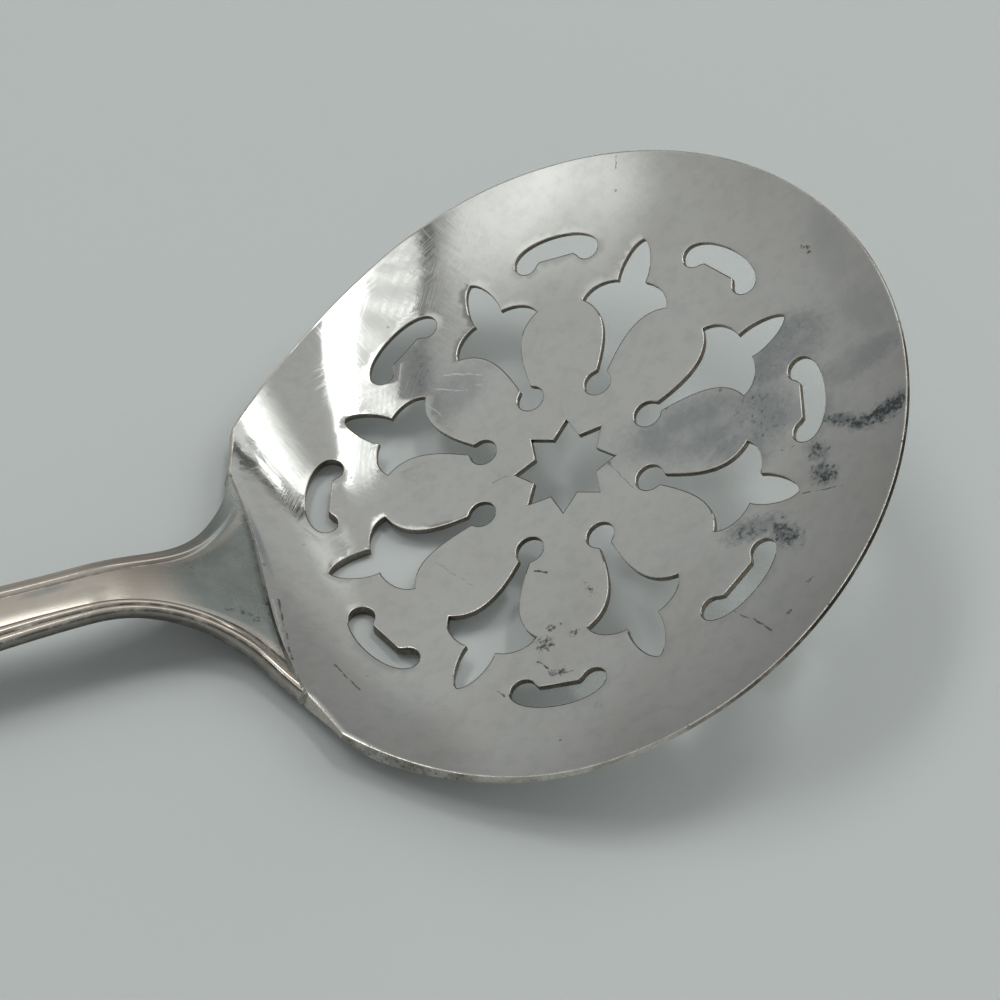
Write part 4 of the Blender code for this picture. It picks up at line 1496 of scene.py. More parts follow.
@dataclass
class PiercedBlade:
    """Round dished blade with its piercings, rolled edges and heel tongue."""

    dish: DishForm
    handle: HandleForm
    joint: LapJoint
    pattern: PiercingPattern
    pitch: float = 0.75 * MM
    rim_pitch: float = 0.45 * MM
    flare_density: float = 3.0
    rim_roll: Pair = (0.16 * MM, 0.07 * MM)
    cut_roll: Pair = (0.12 * MM, 0.055 * MM)
    roll_steps: int = 4
    burr: float = 0.05 * MM
    burr_steps: int = 2
    punch_drop: float = 0.2 * MM
    punch_start: Pair = (-14.0 * MM, -4.0 * MM)
    edge_strip: float = 0.85 * MM
    edge_steps: int = 7
    # Plan direction away from the camera: lips that face it get the dark cut edge's finish, as painted shade.
    shaded_lip_side: Pair = (0.39, 0.92)
    shaded_lip_from: float = 0.25
    heel_drop: float = 0.1 * MM
    heel_reach: float = 0.45 * MM
    heel_fade: float = 6.0 * MM
    corner_rise: float = 0.82 * MM
    corner_bevel: float = 1.0 * MM
    corner_run: Pair = (4.0 * MM, 7.0 * MM)
    seam_roll: float = 0.15
    keep_clear: float = 0.6
    ripple: float = 0.012 * MM
    ripple_waves: tuple[Triple, ...] = (
        (310.0, 140.0, 0.3), (-190.0, 360.0, 1.9), (420.0, -330.0, 4.0),
    )
    sharp: float = math.radians(38.0)

    def outline(self) -> Outline:
        """Plan outline: round rim, two flared heel edges and the straight seam.

        Returns:
            The plate's outline.
        """
        form, dish = self.handle, self.dish

        def outside(s: float) -> bool:
            """Whether the neck's flare is still outside the round rim."""
            v = form.half_width(s)
            return math.hypot(form.plan_at(s, v) - dish.rim_lead, v) > dish.rim_radius

        corner = solve(-dish.seam_setback / 2, 0.0, outside)
        v = form.half_width(corner)
        turn = math.atan2(v, form.plan_at(corner, v) - dish.rim_lead)
        steps = round(2 * turn * dish.rim_radius / self.rim_pitch)
        rim = []
        for k in range(steps + 1):
            a = lerp(-turn, turn, k / steps)
            rim.append(Vector((dish.rim_lead + dish.rim_radius * math.cos(a), dish.rim_radius * math.sin(a))))
        steps = round(-corner * self.flare_density / self.rim_pitch)
        rows = [lerp(corner, 0.0, k / steps) for k in range(steps + 1)]
        flare = [Vector((form.plan_at(s, form.half_width(s)), form.half_width(s))) for s in rows]
        flare[0] = rim[-1]
        w = form.half_width(0.0)
        steps = round(2 * w / self.rim_pitch)
        seam = [lerp(w, -w, k / steps) for k in range(steps + 1)]
        heel = [Vector((form.plan_at(self.joint.drift(v), v), v)) for v in seam]
        other = [Vector((p.x, -p.y)) for p in reversed(flare)]
        return Outline([rim, flare, heel, other], plate_outside=False)

    def pressed(self, p: Vector, depth: float) -> Vector:
        """Plan point at a depth of the plate, with the faint ripples left by pressing."""
        wave = sum(math.sin(p.x * a + p.y * b + c) for a, b, c in self.ripple_waves)
        return self.dish.point(p.x, p.y, depth - self.ripple * wave)

    def punched(self, p: Vector) -> float:
        """How far the punch drew the lower edge of a piercing down; nothing where the blade rests."""
        start, full = self.punch_start
        return self.punch_drop * smooth((p.x - start) / (full - start))

    def fallen(self, v: float) -> float:
        """Fall of the rounded heel edge at the seam.

        Args:
            v: place across.

        Returns:
            The fall.
        """
        form = self.handle
        away = (form.half_width(0.0) + v) / form.edge_spread(0.0)
        return self.heel_drop * max(0.0, 1.0 - away / self.heel_reach) ** 2

    def edge_shares(self, outline: Outline) -> tuple[list[float], list[float]]:
        """Shares of the rolled edge and of the heel's rounding, for each point of the outline.

        Args:
            outline: the plate's outline.

        Returns:
            Two rows of shares; the roll is slight along the seam.
        """
        rim, flare, heel, other = outline.sides
        last = len(rim) - 1
        falls = [1.0 - smooth(i * self.rim_pitch / self.heel_fade) for i in range(last)]
        falls += [0.0] * (len(flare) + len(heel) - 2) + [1.0] * (len(other) - 1)
        rolls = [1.0] * (last + len(flare)) + [self.seam_roll] * (len(heel) - 2) + [1.0] * (len(other) - 1)
        return rolls, falls

    def edge_ring(self, outline: Outline, away: float, depth: float) -> list[Vector]:
        """Places of the plate's edge at a distance in from the outline.

        Args:
            outline: the plate's outline.
            away: distance in from the outline.
            depth: depth below the face, beside the heel's rounding.

        Returns:
            One place for each point of the outline.
        """
        rolls, falls = self.edge_shares(outline)
        wide = self.rim_roll[0]
        _, flare, heel, _ = outline.sides
        first = len(outline.sides[0]) + len(flare) - 2
        places = []
        for i, (a, b) in enumerate(zip(outline.inset(0.0), outline.inset(MM))):
            inside = away * rolls[i]
            if away > wide:
                share = (away - wide) / (self.edge_strip - wide)
                inside = lerp(wide * rolls[i], self.edge_strip, share)
            p = a.lerp(b, inside / MM)
            fall = self.heel_drop * falls[i] * max(0.0, 1.0 - inside / self.heel_reach) ** 2
            if first < i < first + len(heel) - 1:
                fall = self.fallen(p.y)
            places.append(self.pressed(p, depth * rolls[i] + fall))
        return places

    def pinched(self, outline: Outline) -> list[float]:
        """Shares of the bevel worn under the near corner of the heel.

        Args:
            outline: the plate's outline.

        Returns:
            One share for each point of the outline.
        """
        rim, ring = outline.sides[0], outline.inset(0.0)
        runs = [self.corner_run[i >= len(rim) - 1] for i in range(len(ring))]
        return [1.0 - smooth((p - rim[0]).length / run) for p, run in zip(ring, runs)]

    def lip_slots(self, outline: Outline) -> list[int]:
        """Material slots of a piercing's lip: worn bright, but with the dark cut edge's finish as painted
        shade on the side away from the camera.

        Args:
            outline: a piercing.

        Returns:
            One slot for each point of the outline.
        """
        side = Vector(self.shaded_lip_side)
        ring = outline.inset(0.0)
        ways = [(q - p).normalized() for p, q in zip(ring, ring[1:] + ring[:1])]
        slots = (BladeSlot.LIP, BladeSlot.CUT)
        return [slots[Vector((t.y, -t.x)).dot(side) > self.shaded_lip_from] for t in ways]

    @staticmethod
    def edge_slots(outline: Outline) -> list[int]:
        """Material slots of the plate's side: the thin rim's and the thick heel's."""
        rim, *heel = outline.sides
        return [BladeSlot.RIM] * (len(rim) - 1) + [BladeSlot.HEEL] * sum(len(side) - 1 for side in heel)

    @staticmethod
    def encloses(ring: Plan, p: Vector) -> bool:
        """Whether a plan point lies inside a ring.

        Args:
            ring: closed run of points.
            p: the point.

        Returns:
            True inside.
        """
        inside = False
        for a, b in zip(ring, ring[1:] + ring[:1]):
            if (a.y > p.y) != (b.y > p.y) and p.x < lerp(a.x, b.x, (p.y - a.y) / (b.y - a.y)):
                inside = not inside
        return inside

    def in_plate(self, rings: list[Plan], p: Vector) -> bool:
        """Whether a plan point lies in the plate between its edge and its piercings.

        Args:
            rings: plate edge and piercings.
            p: the point.

        Returns:
            True in the metal.
        """
        if not self.encloses(rings[0], p):
            return False
        near = [ring for ring in rings[1:] if (ring[0] - p).length < self.dish.seam_half_width]
        return not any(self.encloses(ring, p) for ring in near)

    def sheet(self, rings: list[Plan]) -> tuple[Plan, list[list[int]], list[list[int]]]:
        """Triangles of the plate's plan.

        Args:
            rings: plate edge and piercings, at the inner edge of their rolled lips.

        Returns:
            Plan points, triangles, and each ring as a row of point numbers.
        """
        fixed = [p for ring in rings for p in ring]
        tree = KDTree(len(fixed))
        for i, p in enumerate(fixed):
            tree.insert((p.x, p.y, 0.0), i)
        tree.balance()
        grid = []
        row_step = self.pitch * math.sqrt(3) / 2
        reach = self.dish.rim_radius + self.pitch
        rows = math.ceil(reach / row_step)
        columns = math.ceil(reach / self.pitch)
        for j in range(-rows, rows + 1):
            for i in range(-columns, columns + 1):
                p = Vector(((i + (j % 2) / 2) * self.pitch, j * row_step))
                if tree.find((p.x, p.y, 0.0))[2] > self.keep_clear * self.pitch and self.in_plate(rings, p):
                    grid.append(p)
        edges, start = [], 0
        for ring in rings:
            n = len(ring)
            edges += [(start + i, start + (i + 1) % n) for i in range(n)]
            start += n
        scaled = [p / MM for p in fixed + grid]
        points, _, faces, origins, _, _ = delaunay_2d_cdt(
            scaled, edges, [], TRIANGLES_INSIDE, TRIANGLE_TOLERANCE
        )
        number = {old: new for new, olds in enumerate(origins) for old in olds}
        points = [p * MM for p in points]
        loops, start = [], 0
        for ring in rings:
            loops.append([number[start + i] for i in range(len(ring))])
            start += len(ring)
        held = {i: (k, j) for k, loop in enumerate(loops) for j, i in enumerate(loop)}

        def belongs(face: list[int]) -> bool:
            """Whether a triangle lies in the plate.

            Args:
                face: point numbers.

            Returns:
                True in the metal; a face across three points of a ring is told by its turn.
            """
            row = sorted(held[i] for i in face if i in held)
            if len(row) == 3 and row[0][0] == row[2][0] and row[2][1] - row[0][1] == 2:
                a, b, c = (points[loops[k][j]] for k, j in row)
                return (b.x - a.x) * (c.y - b.y) > (b.y - a.y) * (c.x - b.x)
            return self.in_plate(rings, sum((points[i] for i in face), Vector((0.0, 0.0))) / 3)

        return points, [f for f in faces if belongs(f)], loops

    def build(self, materials: Finishes) -> Piece:
        """Blade as one closed plate with its tongue.

        Args:
            materials: face, back, cut edge, rim edge, rolled lip and heel side.

        Returns:
            The finished object.
        """
        shift = self.dish.origin()
        outlines = [self.outline()] + self.pattern.outlines()
        starts = [self.edge_strip] + [self.cut_roll[0]] * (len(outlines) - 1)
        points, faces, loops = self.sheet([o.inset(w) for o, w in zip(outlines, starts)])
        made = LoopMesh()
        bm = made.bm
        top = [bm.verts.new(self.pressed(p, 0.0)) for p in points]
        for f in faces:
            bm.faces.new([top[i] for i in f])
        low, drop = {}, {}
        worn = self.pinched(outlines[0])
        bevel = zip(outlines[0].inset(self.burr), outlines[0].inset(self.burr + self.corner_bevel), worn)
        foot = [p.lerp(q, share) for p, q, share in bevel]
        for k, (outline, loop) in enumerate(zip(outlines, loops)):
            ends = outline.inset(self.burr) if k else foot
            low |= dict(zip(loop, ends))
            drop |= {i: self.punched(p) if k else 0.0 for i, p in zip(loop, ends)}
        flat = [low.get(i, p) for i, p in enumerate(points)]
        deep = [self.dish.thickness(p.x) + drop.get(i, 0.0) for i, p in enumerate(flat)]
        bottom = [bm.verts.new(self.pressed(p, d)) for p, d in zip(flat, deep)]
        for f in faces:
            bm.faces.new([bottom[i] for i in reversed(f)]).material_index = BladeSlot.BACK
        for k, (outline, loop) in enumerate(zip(outlines, loops)):
            ring = [top[i] for i in loop]
            wide, deep_roll = self.cut_roll if k else self.rim_roll
            for step in range(1, 1 if k else self.edge_steps + 1):
                away = lerp(self.edge_strip, wide, step / self.edge_steps)
                ring = made.grow(ring, self.edge_ring(outline, away, 0.0), BladeSlot.FACE)
            for step in range(1, self.roll_steps + 1):
                a = step / self.roll_steps * math.pi / 2
                away, depth = wide * (1.0 - math.sin(a)), deep_roll * (1.0 - math.cos(a))
                if k:
                    places = [self.pressed(p, depth) for p in outline.inset(away)]
                else:
                    places = self.edge_ring(outline, away, depth)
                ring = made.grow(ring, places, self.lip_slots(outline) if k else BladeSlot.LIP)
            walls = BladeSlot.CUT if k else self.edge_slots(outline)
            for step in range(self.burr_steps + 1):
                a = step / self.burr_steps * math.pi / 2
                plan = outline.inset(self.burr * (1.0 - math.cos(a)))
                rise = self.burr * (1.0 - math.sin(a))
                lips = [self.punched(p) for p in plan] if k else [-self.corner_rise * w for w in worn]
                places = [self.pressed(p, self.dish.thickness(p.x) + d - rise) for p, d in zip(plan, lips)]
                ring = made.grow(ring, places, BladeSlot.LIP if step else walls)
            if not k:
                edge = [self.pressed(p, self.dish.thickness(p.x)) for p in foot]
                made.grow(ring, edge, BladeSlot.BACK)
        blade = made.finish("server_blade", materials, shift)
        tongue = self.joint.bar("tongue", materials, 0.0, self.joint.lift, BladeSlot.BACK, shift)
        work(blade, tongue, Cut.JOIN)
        shade(blade, self.sharp)
        return blade


@dataclass
class ThreadedHandle:
    """Arched handle with a sunk field inside a border of two raised threads."""

    form: HandleForm
    joint: LapJoint
    thread_crown: float = 0.2 * MM
    thread_slope: float = 0.27 * MM
    thread_height: float = 0.3 * MM
    groove_depth: float = 0.18 * MM
    inner_drop: float = 0.04 * MM
    dome_crest: Pair = (0.35 * MM, 1.0 * MM)
    dome_fall: Pair = (1.1 * MM, 0.48 * MM)
    dome_run: tuple[Pair, ...] = ((1.0 * MM, 8.0 * MM), (30.0 * MM, 48.0 * MM))
    growth: float = 1.42
    growth_run: tuple[Pair, ...] = ((12.0 * MM, 30.0 * MM), (34.0 * MM, 48.0 * MM))
    groove_dirt: Pair = (1.0, 0.2)
    field_dirt: Pair = (0.85, 0.75)
    edge_dirt: Pair = (0.9, 0.3)
    dirt_reach: float = 0.17 * MM
    # Rows down the side, as height share and darkness: a dark line under the border, then painted shade that
    # grows towards the bottom and under the rounding.
    wall_rows: tuple[Pair, ...] = ((0.1, 0.85), (0.22, 0.3), (0.5, 0.1), (0.8, 0.45), (1.0, 0.6))
    corner_shade: float = 0.7
    side_recess: float = 0.6
    back_recess: float = 0.5
    border_tarnish: float = 0.95
    border_tarnish_run: Pair = (3.0 * MM, 10.0 * MM)
    # Painted shade in the crease at the seam: its strength and how far along the field it reaches.
    seam_shade: float = 0.58
    seam_shade_reach: float = 0.8 * MM
    seam_rise: float = 9.0 * MM
    seam_side: Pair = (-1.0 * MM, 4.0 * MM)
    groove_tarnish: float = 0.35
    far_tarnish: float = 0.06
    tarnish_run: Pair = (7.0 * MM, 6.0 * MM)
    tarnish_edge: Pair = (0.78, 0.12)
    edge_tarnish: float = 0.55
    back_rounding: Pair = (0.4 * MM, 0.9 * MM)
    wall_lean: float = 0.5 * MM
    rounding_run: float = 8.0 * MM
    field_crown: Pair = (0.03, 0.038)
    crown_run: Pair = (20.0 * MM, 10.0 * MM)
    field_steps: int = 24
    thread_steps: int = 4
    corner_steps: int = 5
    back_steps: int = 6
    steps: int = 170
    end_steps: int = 44
    crowding: float = 0.3
    sharp: float = math.radians(40.0)

    def levels(self) -> list[Pair]:
        """Turns of the threaded border.

        Returns:
            Rows of distance from the edge and height, from the field out.
        """
        inner = 3 * self.thread_slope + self.thread_crown
        return [
            (inner + self.thread_crown + self.thread_slope, -self.thread_height),
            (inner + self.thread_crown, -self.inner_drop),
            (inner, -self.inner_drop),
            (inner - self.thread_slope, -self.groove_depth),
            (self.thread_slope + self.thread_crown, 0.0),
            (self.thread_slope, 0.0),
            (0.0, -self.groove_depth),
        ]

    def border(self, s: float, far: bool) -> list[tuple[float, float, float, float]]:
        """Both threads at a distance from the seam, worn into one bead where they near it.

        Args:
            s: distance from the seam.
            far: True for the half that is worn more.

        Returns:
            Rows of distance from the edge, height, depth share and dirt.
        """
        rows = []
        start, end = self.growth_run[far]
        grown = lerp(1.0, self.growth, smooth((s - start) / (end - start)))
        levels = [(e * grown, h) for e, h in self.levels()]
        for (e0, h0), (e1, h1) in zip(levels, levels[1:]):
            for k in range(self.thread_steps):
                t = k / self.thread_steps
                rows.append((lerp(e0, e1, t), lerp(h0, h1, smooth(t))))
        rows.append(levels[-1])
        start, end = self.dome_run[far]
        crisp = smooth((s - start) / (end - start))
        fade = smooth((s - self.border_tarnish_run[0]) / self.border_tarnish_run[1])
        field_dirt = self.field_dirt[far] * (fade if far else 1.0)
        dirts = (
            (levels[0][0], field_dirt),
            (levels[3][0], self.groove_dirt[far] * crisp),
            (0.0, self.edge_dirt[far]),
        )
        worn = self.border_tarnish * (1.0 - fade) if far else 0.0
        made = []
        for e, h in rows:
            h = lerp(self.dome(e, far, s), h, crisp)
            dirt_and_shade = max(share * math.exp(-(((e - place) / self.dirt_reach) ** 2)) for place, share in dirts)
            tarnish = self.groove_tarnish * min(1.0, max(0.0, -h) / self.thread_height)
            made.append((e, h, max(worn, tarnish), dirt_and_shade))
        return made

    def dome(self, e: float, far: bool, s: float) -> float:
        """Height of the bead that the threads wear into.

        Args:
            e: distance from the edge.
            far: True for the half that is worn more.
            s: distance from the seam.

        Returns:
            The height.
        """
        crest, fall = self.dome_crest[far], self.dome_fall[far]
        rise = self.groove_depth * (1.0 - smooth(e / crest))
        if far:
            rise *= smooth(s / self.seam_rise)
        return -rise - self.thread_height * smooth((e - crest) / fall)

    def leveled(self, s: float, v: float, h: float) -> float:
        """Eases the far half of the field up to the blade at the seam.

        Args:
            s: distance behind the seam.
            v: place across.
            h: height of the plain section.

        Returns:
            The eased height.
        """
        low, high = self.seam_side
        near = (1.0 - smooth(s / self.seam_rise)) * smooth((v - low) / (high - low))
        away = (self.form.half_width(s) - abs(v)) / self.form.edge_spread(s)
        return h * (1.0 - near * smooth((away - self.dome_crest[0]) / self.dome_fall[0]))

    def field_height(self, s: float, share: float) -> float:
        """Height of the sunk field, a little crowned across.

        Args:
            s: distance from the seam.
            share: place between the field's centre and its edge.

        Returns:
            The height.
        """
        inner = self.form.half_width(s) - self.levels()[0][0] * self.form.edge_spread(s)
        start, run = self.crown_run
        crown = lerp(*self.field_crown, smooth((s - start) / run))
        return -self.thread_height + crown * max(0.0, inner) * (1.0 - share * share)

    def field_tarnish(self, s: float, share: float) -> float:
        """Tarnish of the sunk field: dark in the neck, lighter along the handle and next to the threads.

        Args:
            s: distance from the seam.
            share: place between the field's centre and its edge.

        Returns:
            The tarnish's strength.
        """
        along = lerp(1.0, self.far_tarnish, smooth((s - self.tarnish_run[0]) / self.tarnish_run[1]))
        edge = smooth((share - self.tarnish_edge[0]) / self.tarnish_edge[1])
        return along * lerp(1.0, self.edge_tarnish, edge)

    def half(self, rim: Vector, inward: Vector, thick: float, far: bool) -> list[Row]:
        """Half section from the field's centre over the edge to the back's centre.

        Args:
            rim: place of the edge, along and across.
            inward: step of one unit in from the edge.
            thick: thickness there.
            far: True for the half that is worn more.

        Returns:
            Rows of along, across, height, recess, grime and painted shade, and material slot.
        """
        border = self.border(rim.x, far)
        start = rim + inward * border[0][0]
        start.y = max(start.y, 0.0)
        # Painted shade in the seam's crease, fading along the field.
        seam = self.seam_shade * (1.0 - smooth((rim.x - CLEARANCE) / self.seam_shade_reach))
        rows = []
        for k in range(self.field_steps):
            share = k / self.field_steps
            recess = self.field_tarnish(start.x, share)
            height = self.field_height(min(start.x, self.form.length - self.form.end_rounding), share)
            rows.append((start.x, start.y * share, height, recess, seam, HandleSlot.FACE))
        for e, h, recess, dirt_and_shade in border:
            p = rim + inward * e
            rows.append((p.x, max(p.y, 0.0), h, recess, dirt_and_shade, HandleSlot.FACE))
        full = smooth((rim.x - CLEARANCE) / self.rounding_run)
        rounding, lean = lerp(*self.back_rounding, full), self.wall_lean * full
        wall, top = rounding - thick, rows[-1][2]
        # The side darkens towards the bottom and under the rounding: painted shade.
        for share, dirt_and_shade in self.wall_rows:
            p = rim + inward * (lean * share * share)
            h = lerp(top, wall, share)
            rows.append((p.x, max(p.y, 0.0), h, self.side_recess, dirt_and_shade, HandleSlot.SIDE))
        for k in range(1, self.corner_steps + 1):
            a = k / self.corner_steps * math.pi / 2
            p = rim + inward * (lean + rounding * (1.0 - math.cos(a)))
            h = wall - rounding * math.sin(a)
            rows.append((p.x, max(p.y, 0.0), h, self.side_recess, self.corner_shade, HandleSlot.SIDE))
        last = rows[-1]
        for k in range(1, self.back_steps + 1):
            across = last[1] * (1.0 - k / self.back_steps)
            rows.append((last[0], across, -thick, self.back_recess, 0.0, HandleSlot.BACK))
        return rows

    def section(self, rim: Vector, inward: Vector, thick: float) -> list[Row]:
        """Closed section of both halves at a place of the edge."""
        far, near = (self.half(rim, inward, thick, side) for side in (True, False))
        return far + [(s, -v, *rest) for s, v, *rest in reversed(near[1:-1])]

    def sections(self) -> list[list[Row]]:
        """Sections from the seam to the handle's end.

        Returns:
            Closed sections, in order.
        """
        form = self.form
        start = form.length - form.end_rounding
        made = []
        for k in range(self.steps):
            share = k / self.steps
            s = lerp(CLEARANCE, start, lerp(share * share, share, self.crowding))
            inward = Vector((0.0, -form.edge_spread(s)))
            made.append(self.section(Vector((s, form.half_width(s))), inward, form.thickness(s)))
        across = form.half_width(start)
        for k in range(self.end_steps + 1):
            a = k / self.end_steps * math.pi / 2
            c, n = math.cos(a), math.sin(a)
            rim = Vector((start + form.end_rounding * n, across * c))
            inward = Vector((-n / form.end_rounding, -c / across)).normalized()
            made.append(self.section(rim, inward, form.thickness(rim.x)))
        return made

    def face_height(self, v: float) -> float:
        """Height of the handle's top face at the seam.

        Args:
            v: place across.

        Returns:
            The height.
        """
        s = CLEARANCE
        inward = Vector((0.0, -self.form.edge_spread(s)))
        half = self.half(Vector((s, self.form.half_width(s))), inward, self.form.thickness(s), v > 0.0)
        rows = [row for row in half if row[5] == HandleSlot.FACE]
        height = rows[-1][2]
        for a, b in zip(rows, rows[1:]):
            if a[1] <= abs(v) <= b[1] and b[1] > a[1]:
                height = lerp(a[2], b[2], (abs(v) - a[1]) / (b[1] - a[1]))
        return self.leveled(s, v, height)

    def place(self, row: Row) -> Vector:
        """Place of one point of a section.

        Args:
            row: the point.

        Returns:
            Its place.
        """
        s, v, h = row[:3]
        if row[5] == HandleSlot.FACE:
            h = self.leveled(s, v, h)
        return self.form.point(s + self.joint.drift(v, s), v, h)

    def build(self, materials: Finishes) -> Piece:
        """Handle as one closed bar with its socket.

        Args:
            materials: face, side and back.

        Returns:
            The finished object.
        """
        form, made = self.form, LoopMesh()
        # The second value holds grime along the border and painted shade on the side and in the seam's
        # crease.
        recess, dirt_and_shade = (made.bm.verts.layers.float.new(name) for name in ("recess", "dirt_and_shade"))
        zone = made.bm.verts.layers.int.new("zone")
        loop = None
        for ring in self.sections():
            places = [self.place(row) for row in ring]
            if loop is None:
                loop = made.ring(places)
                made.cap(loop, HandleSlot.SIDE)
            else:
                loop = made.grow(loop, places, HandleSlot.FACE)
            for vert, row in zip(loop, ring):
                vert[recess], vert[dirt_and_shade], vert[zone] = row[3:]
        for face in made.bm.faces:
            if len(face.verts) == 4:
                face.material_index = max(vert[zone] for vert in face.verts)
        shift = form.dish.origin()
        handle = made.finish("server_handle", materials, shift)
        depth, slot = -form.neck_thickness, HandleSlot.BACK
        socket = self.joint.bar("socket", materials, CLEARANCE, depth, slot, shift)
        work(handle, socket, Cut.SINK)
        shade(handle, self.sharp)
        return handle


@dataclass(frozen=True)
class Window:
    """Bright pane overhead: its left and right edge as start and slant, its span and its brightness."""

    name: str
    left: Pair
    right: Pair
    span: Pair
    level: float
    soft: Pair = (0.02, 0.02)
    lean: float = 0.0
    ends: float = 0.009
    folds: bool = False


@dataclass(frozen=True)
class Glow:
    """Soft round light on the ceiling: its centre, radius and brightness."""

    place: Pair
    reach: float
    level: float


@dataclass
class Ceiling:
    """Plane overhead, by the place across it, along the server, and the place away from the camera."""

    sheet: NodeSheet
    across: Socket
    away: Socket
    fold_light: Pair = (0.90, 1.8)
    fold_rows: Triple = (0.426, 0.102, 1.45)
    fold_pitch: Pair = (0.70, 0.042)
    fold_least: float = 0.05
    fold_edge: Pair = (-0.3, 0.7)

    def pane(self, window: Window) -> Socket:
        """Mask of a window.

        Args:
            window: its edges.

        Returns:
            The mask.
        """
        sheet, sides = self.sheet, []
        for (start, slant), sign, soft in zip((window.left, window.right), (1.0, -1.0), window.soft):
            line = sheet.plus(sheet.times(self.away, slant), start)
            sides.append((sheet.times(sheet.minus(self.across, line), sign), soft))
        leaned = sheet.plus(self.away, sheet.times(self.across, window.lean))
        sides.append((sheet.minus(leaned, window.span[0]), window.ends))
        sides.append((sheet.minus(window.span[1], leaned), window.ends))
        mask = 1.0
        for side, soft in sides:
            mask = sheet.times(mask, sheet.ease(side, -soft, soft))
        return mask

    def folds(self) -> Socket:
        """Brightness of the curtain: rows of folds that widen with the distance.

        Returns:
            The brightness.
        """
        sheet = self.sheet
        shift, first, growth = self.fold_rows
        row = sheet.math("DIVIDE", sheet.plus(sheet.plus(self.across, self.away), shift), first)
        row = sheet.math("LOGARITHM", sheet.math("MAXIMUM", row, self.fold_least), growth)
        start, pitch = self.fold_pitch
        place = sheet.minus(sheet.minus(self.away, self.across), start)
        masks = []
        for turns in (row, sheet.math("DIVIDE", place, pitch)):
            wave = sheet.math("COSINE", sheet.times(turns, 2 * math.pi))
            masks.append(sheet.ease(wave, *self.fold_edge))
        return sheet.ease(sheet.times(*masks), 0.0, 1.0, *self.fold_light)

    def glow(self, glow: Glow) -> Socket:
        """Brightness of a soft round light.

        Args:
            glow: its place, radius and level.

        Returns:
            The brightness.
        """
        sheet = self.sheet
        sides = zip((self.across, self.away), glow.place)
        squares = [sheet.math("POWER", sheet.minus(a, b), 2.0) for a, b in sides]
        distance = sheet.math("POWER", sheet.plus(*squares), 0.5)
        return sheet.ease(distance, 0.0, glow.reach, glow.level, 0.0)


@dataclass(frozen=True)
class Lamp:
    """Soft panel that lights the table: its place, turn, size and brightness."""

    name: str
    place: Triple
    turn: Triple
    size: Pair
    level: float

    def build(self, colour: Colour) -> None:
        """Adds the panel, out of the metal's reflections.

        Args:
            colour: tint of its light.
        """
        data = bpy.data.lights.new(self.name, "AREA")
        data.shape, data.color = "RECTANGLE", colour
        data.size, data.size_y = self.size
        data.energy = self.level * math.pi * self.size[0] * self.size[1]
        panel = bpy.data.objects.new(self.name, data)
        panel.location, panel.rotation_euler = self.place, self.turn
        panel.visible_glossy = False
        bpy.context.collection.objects.link(panel)


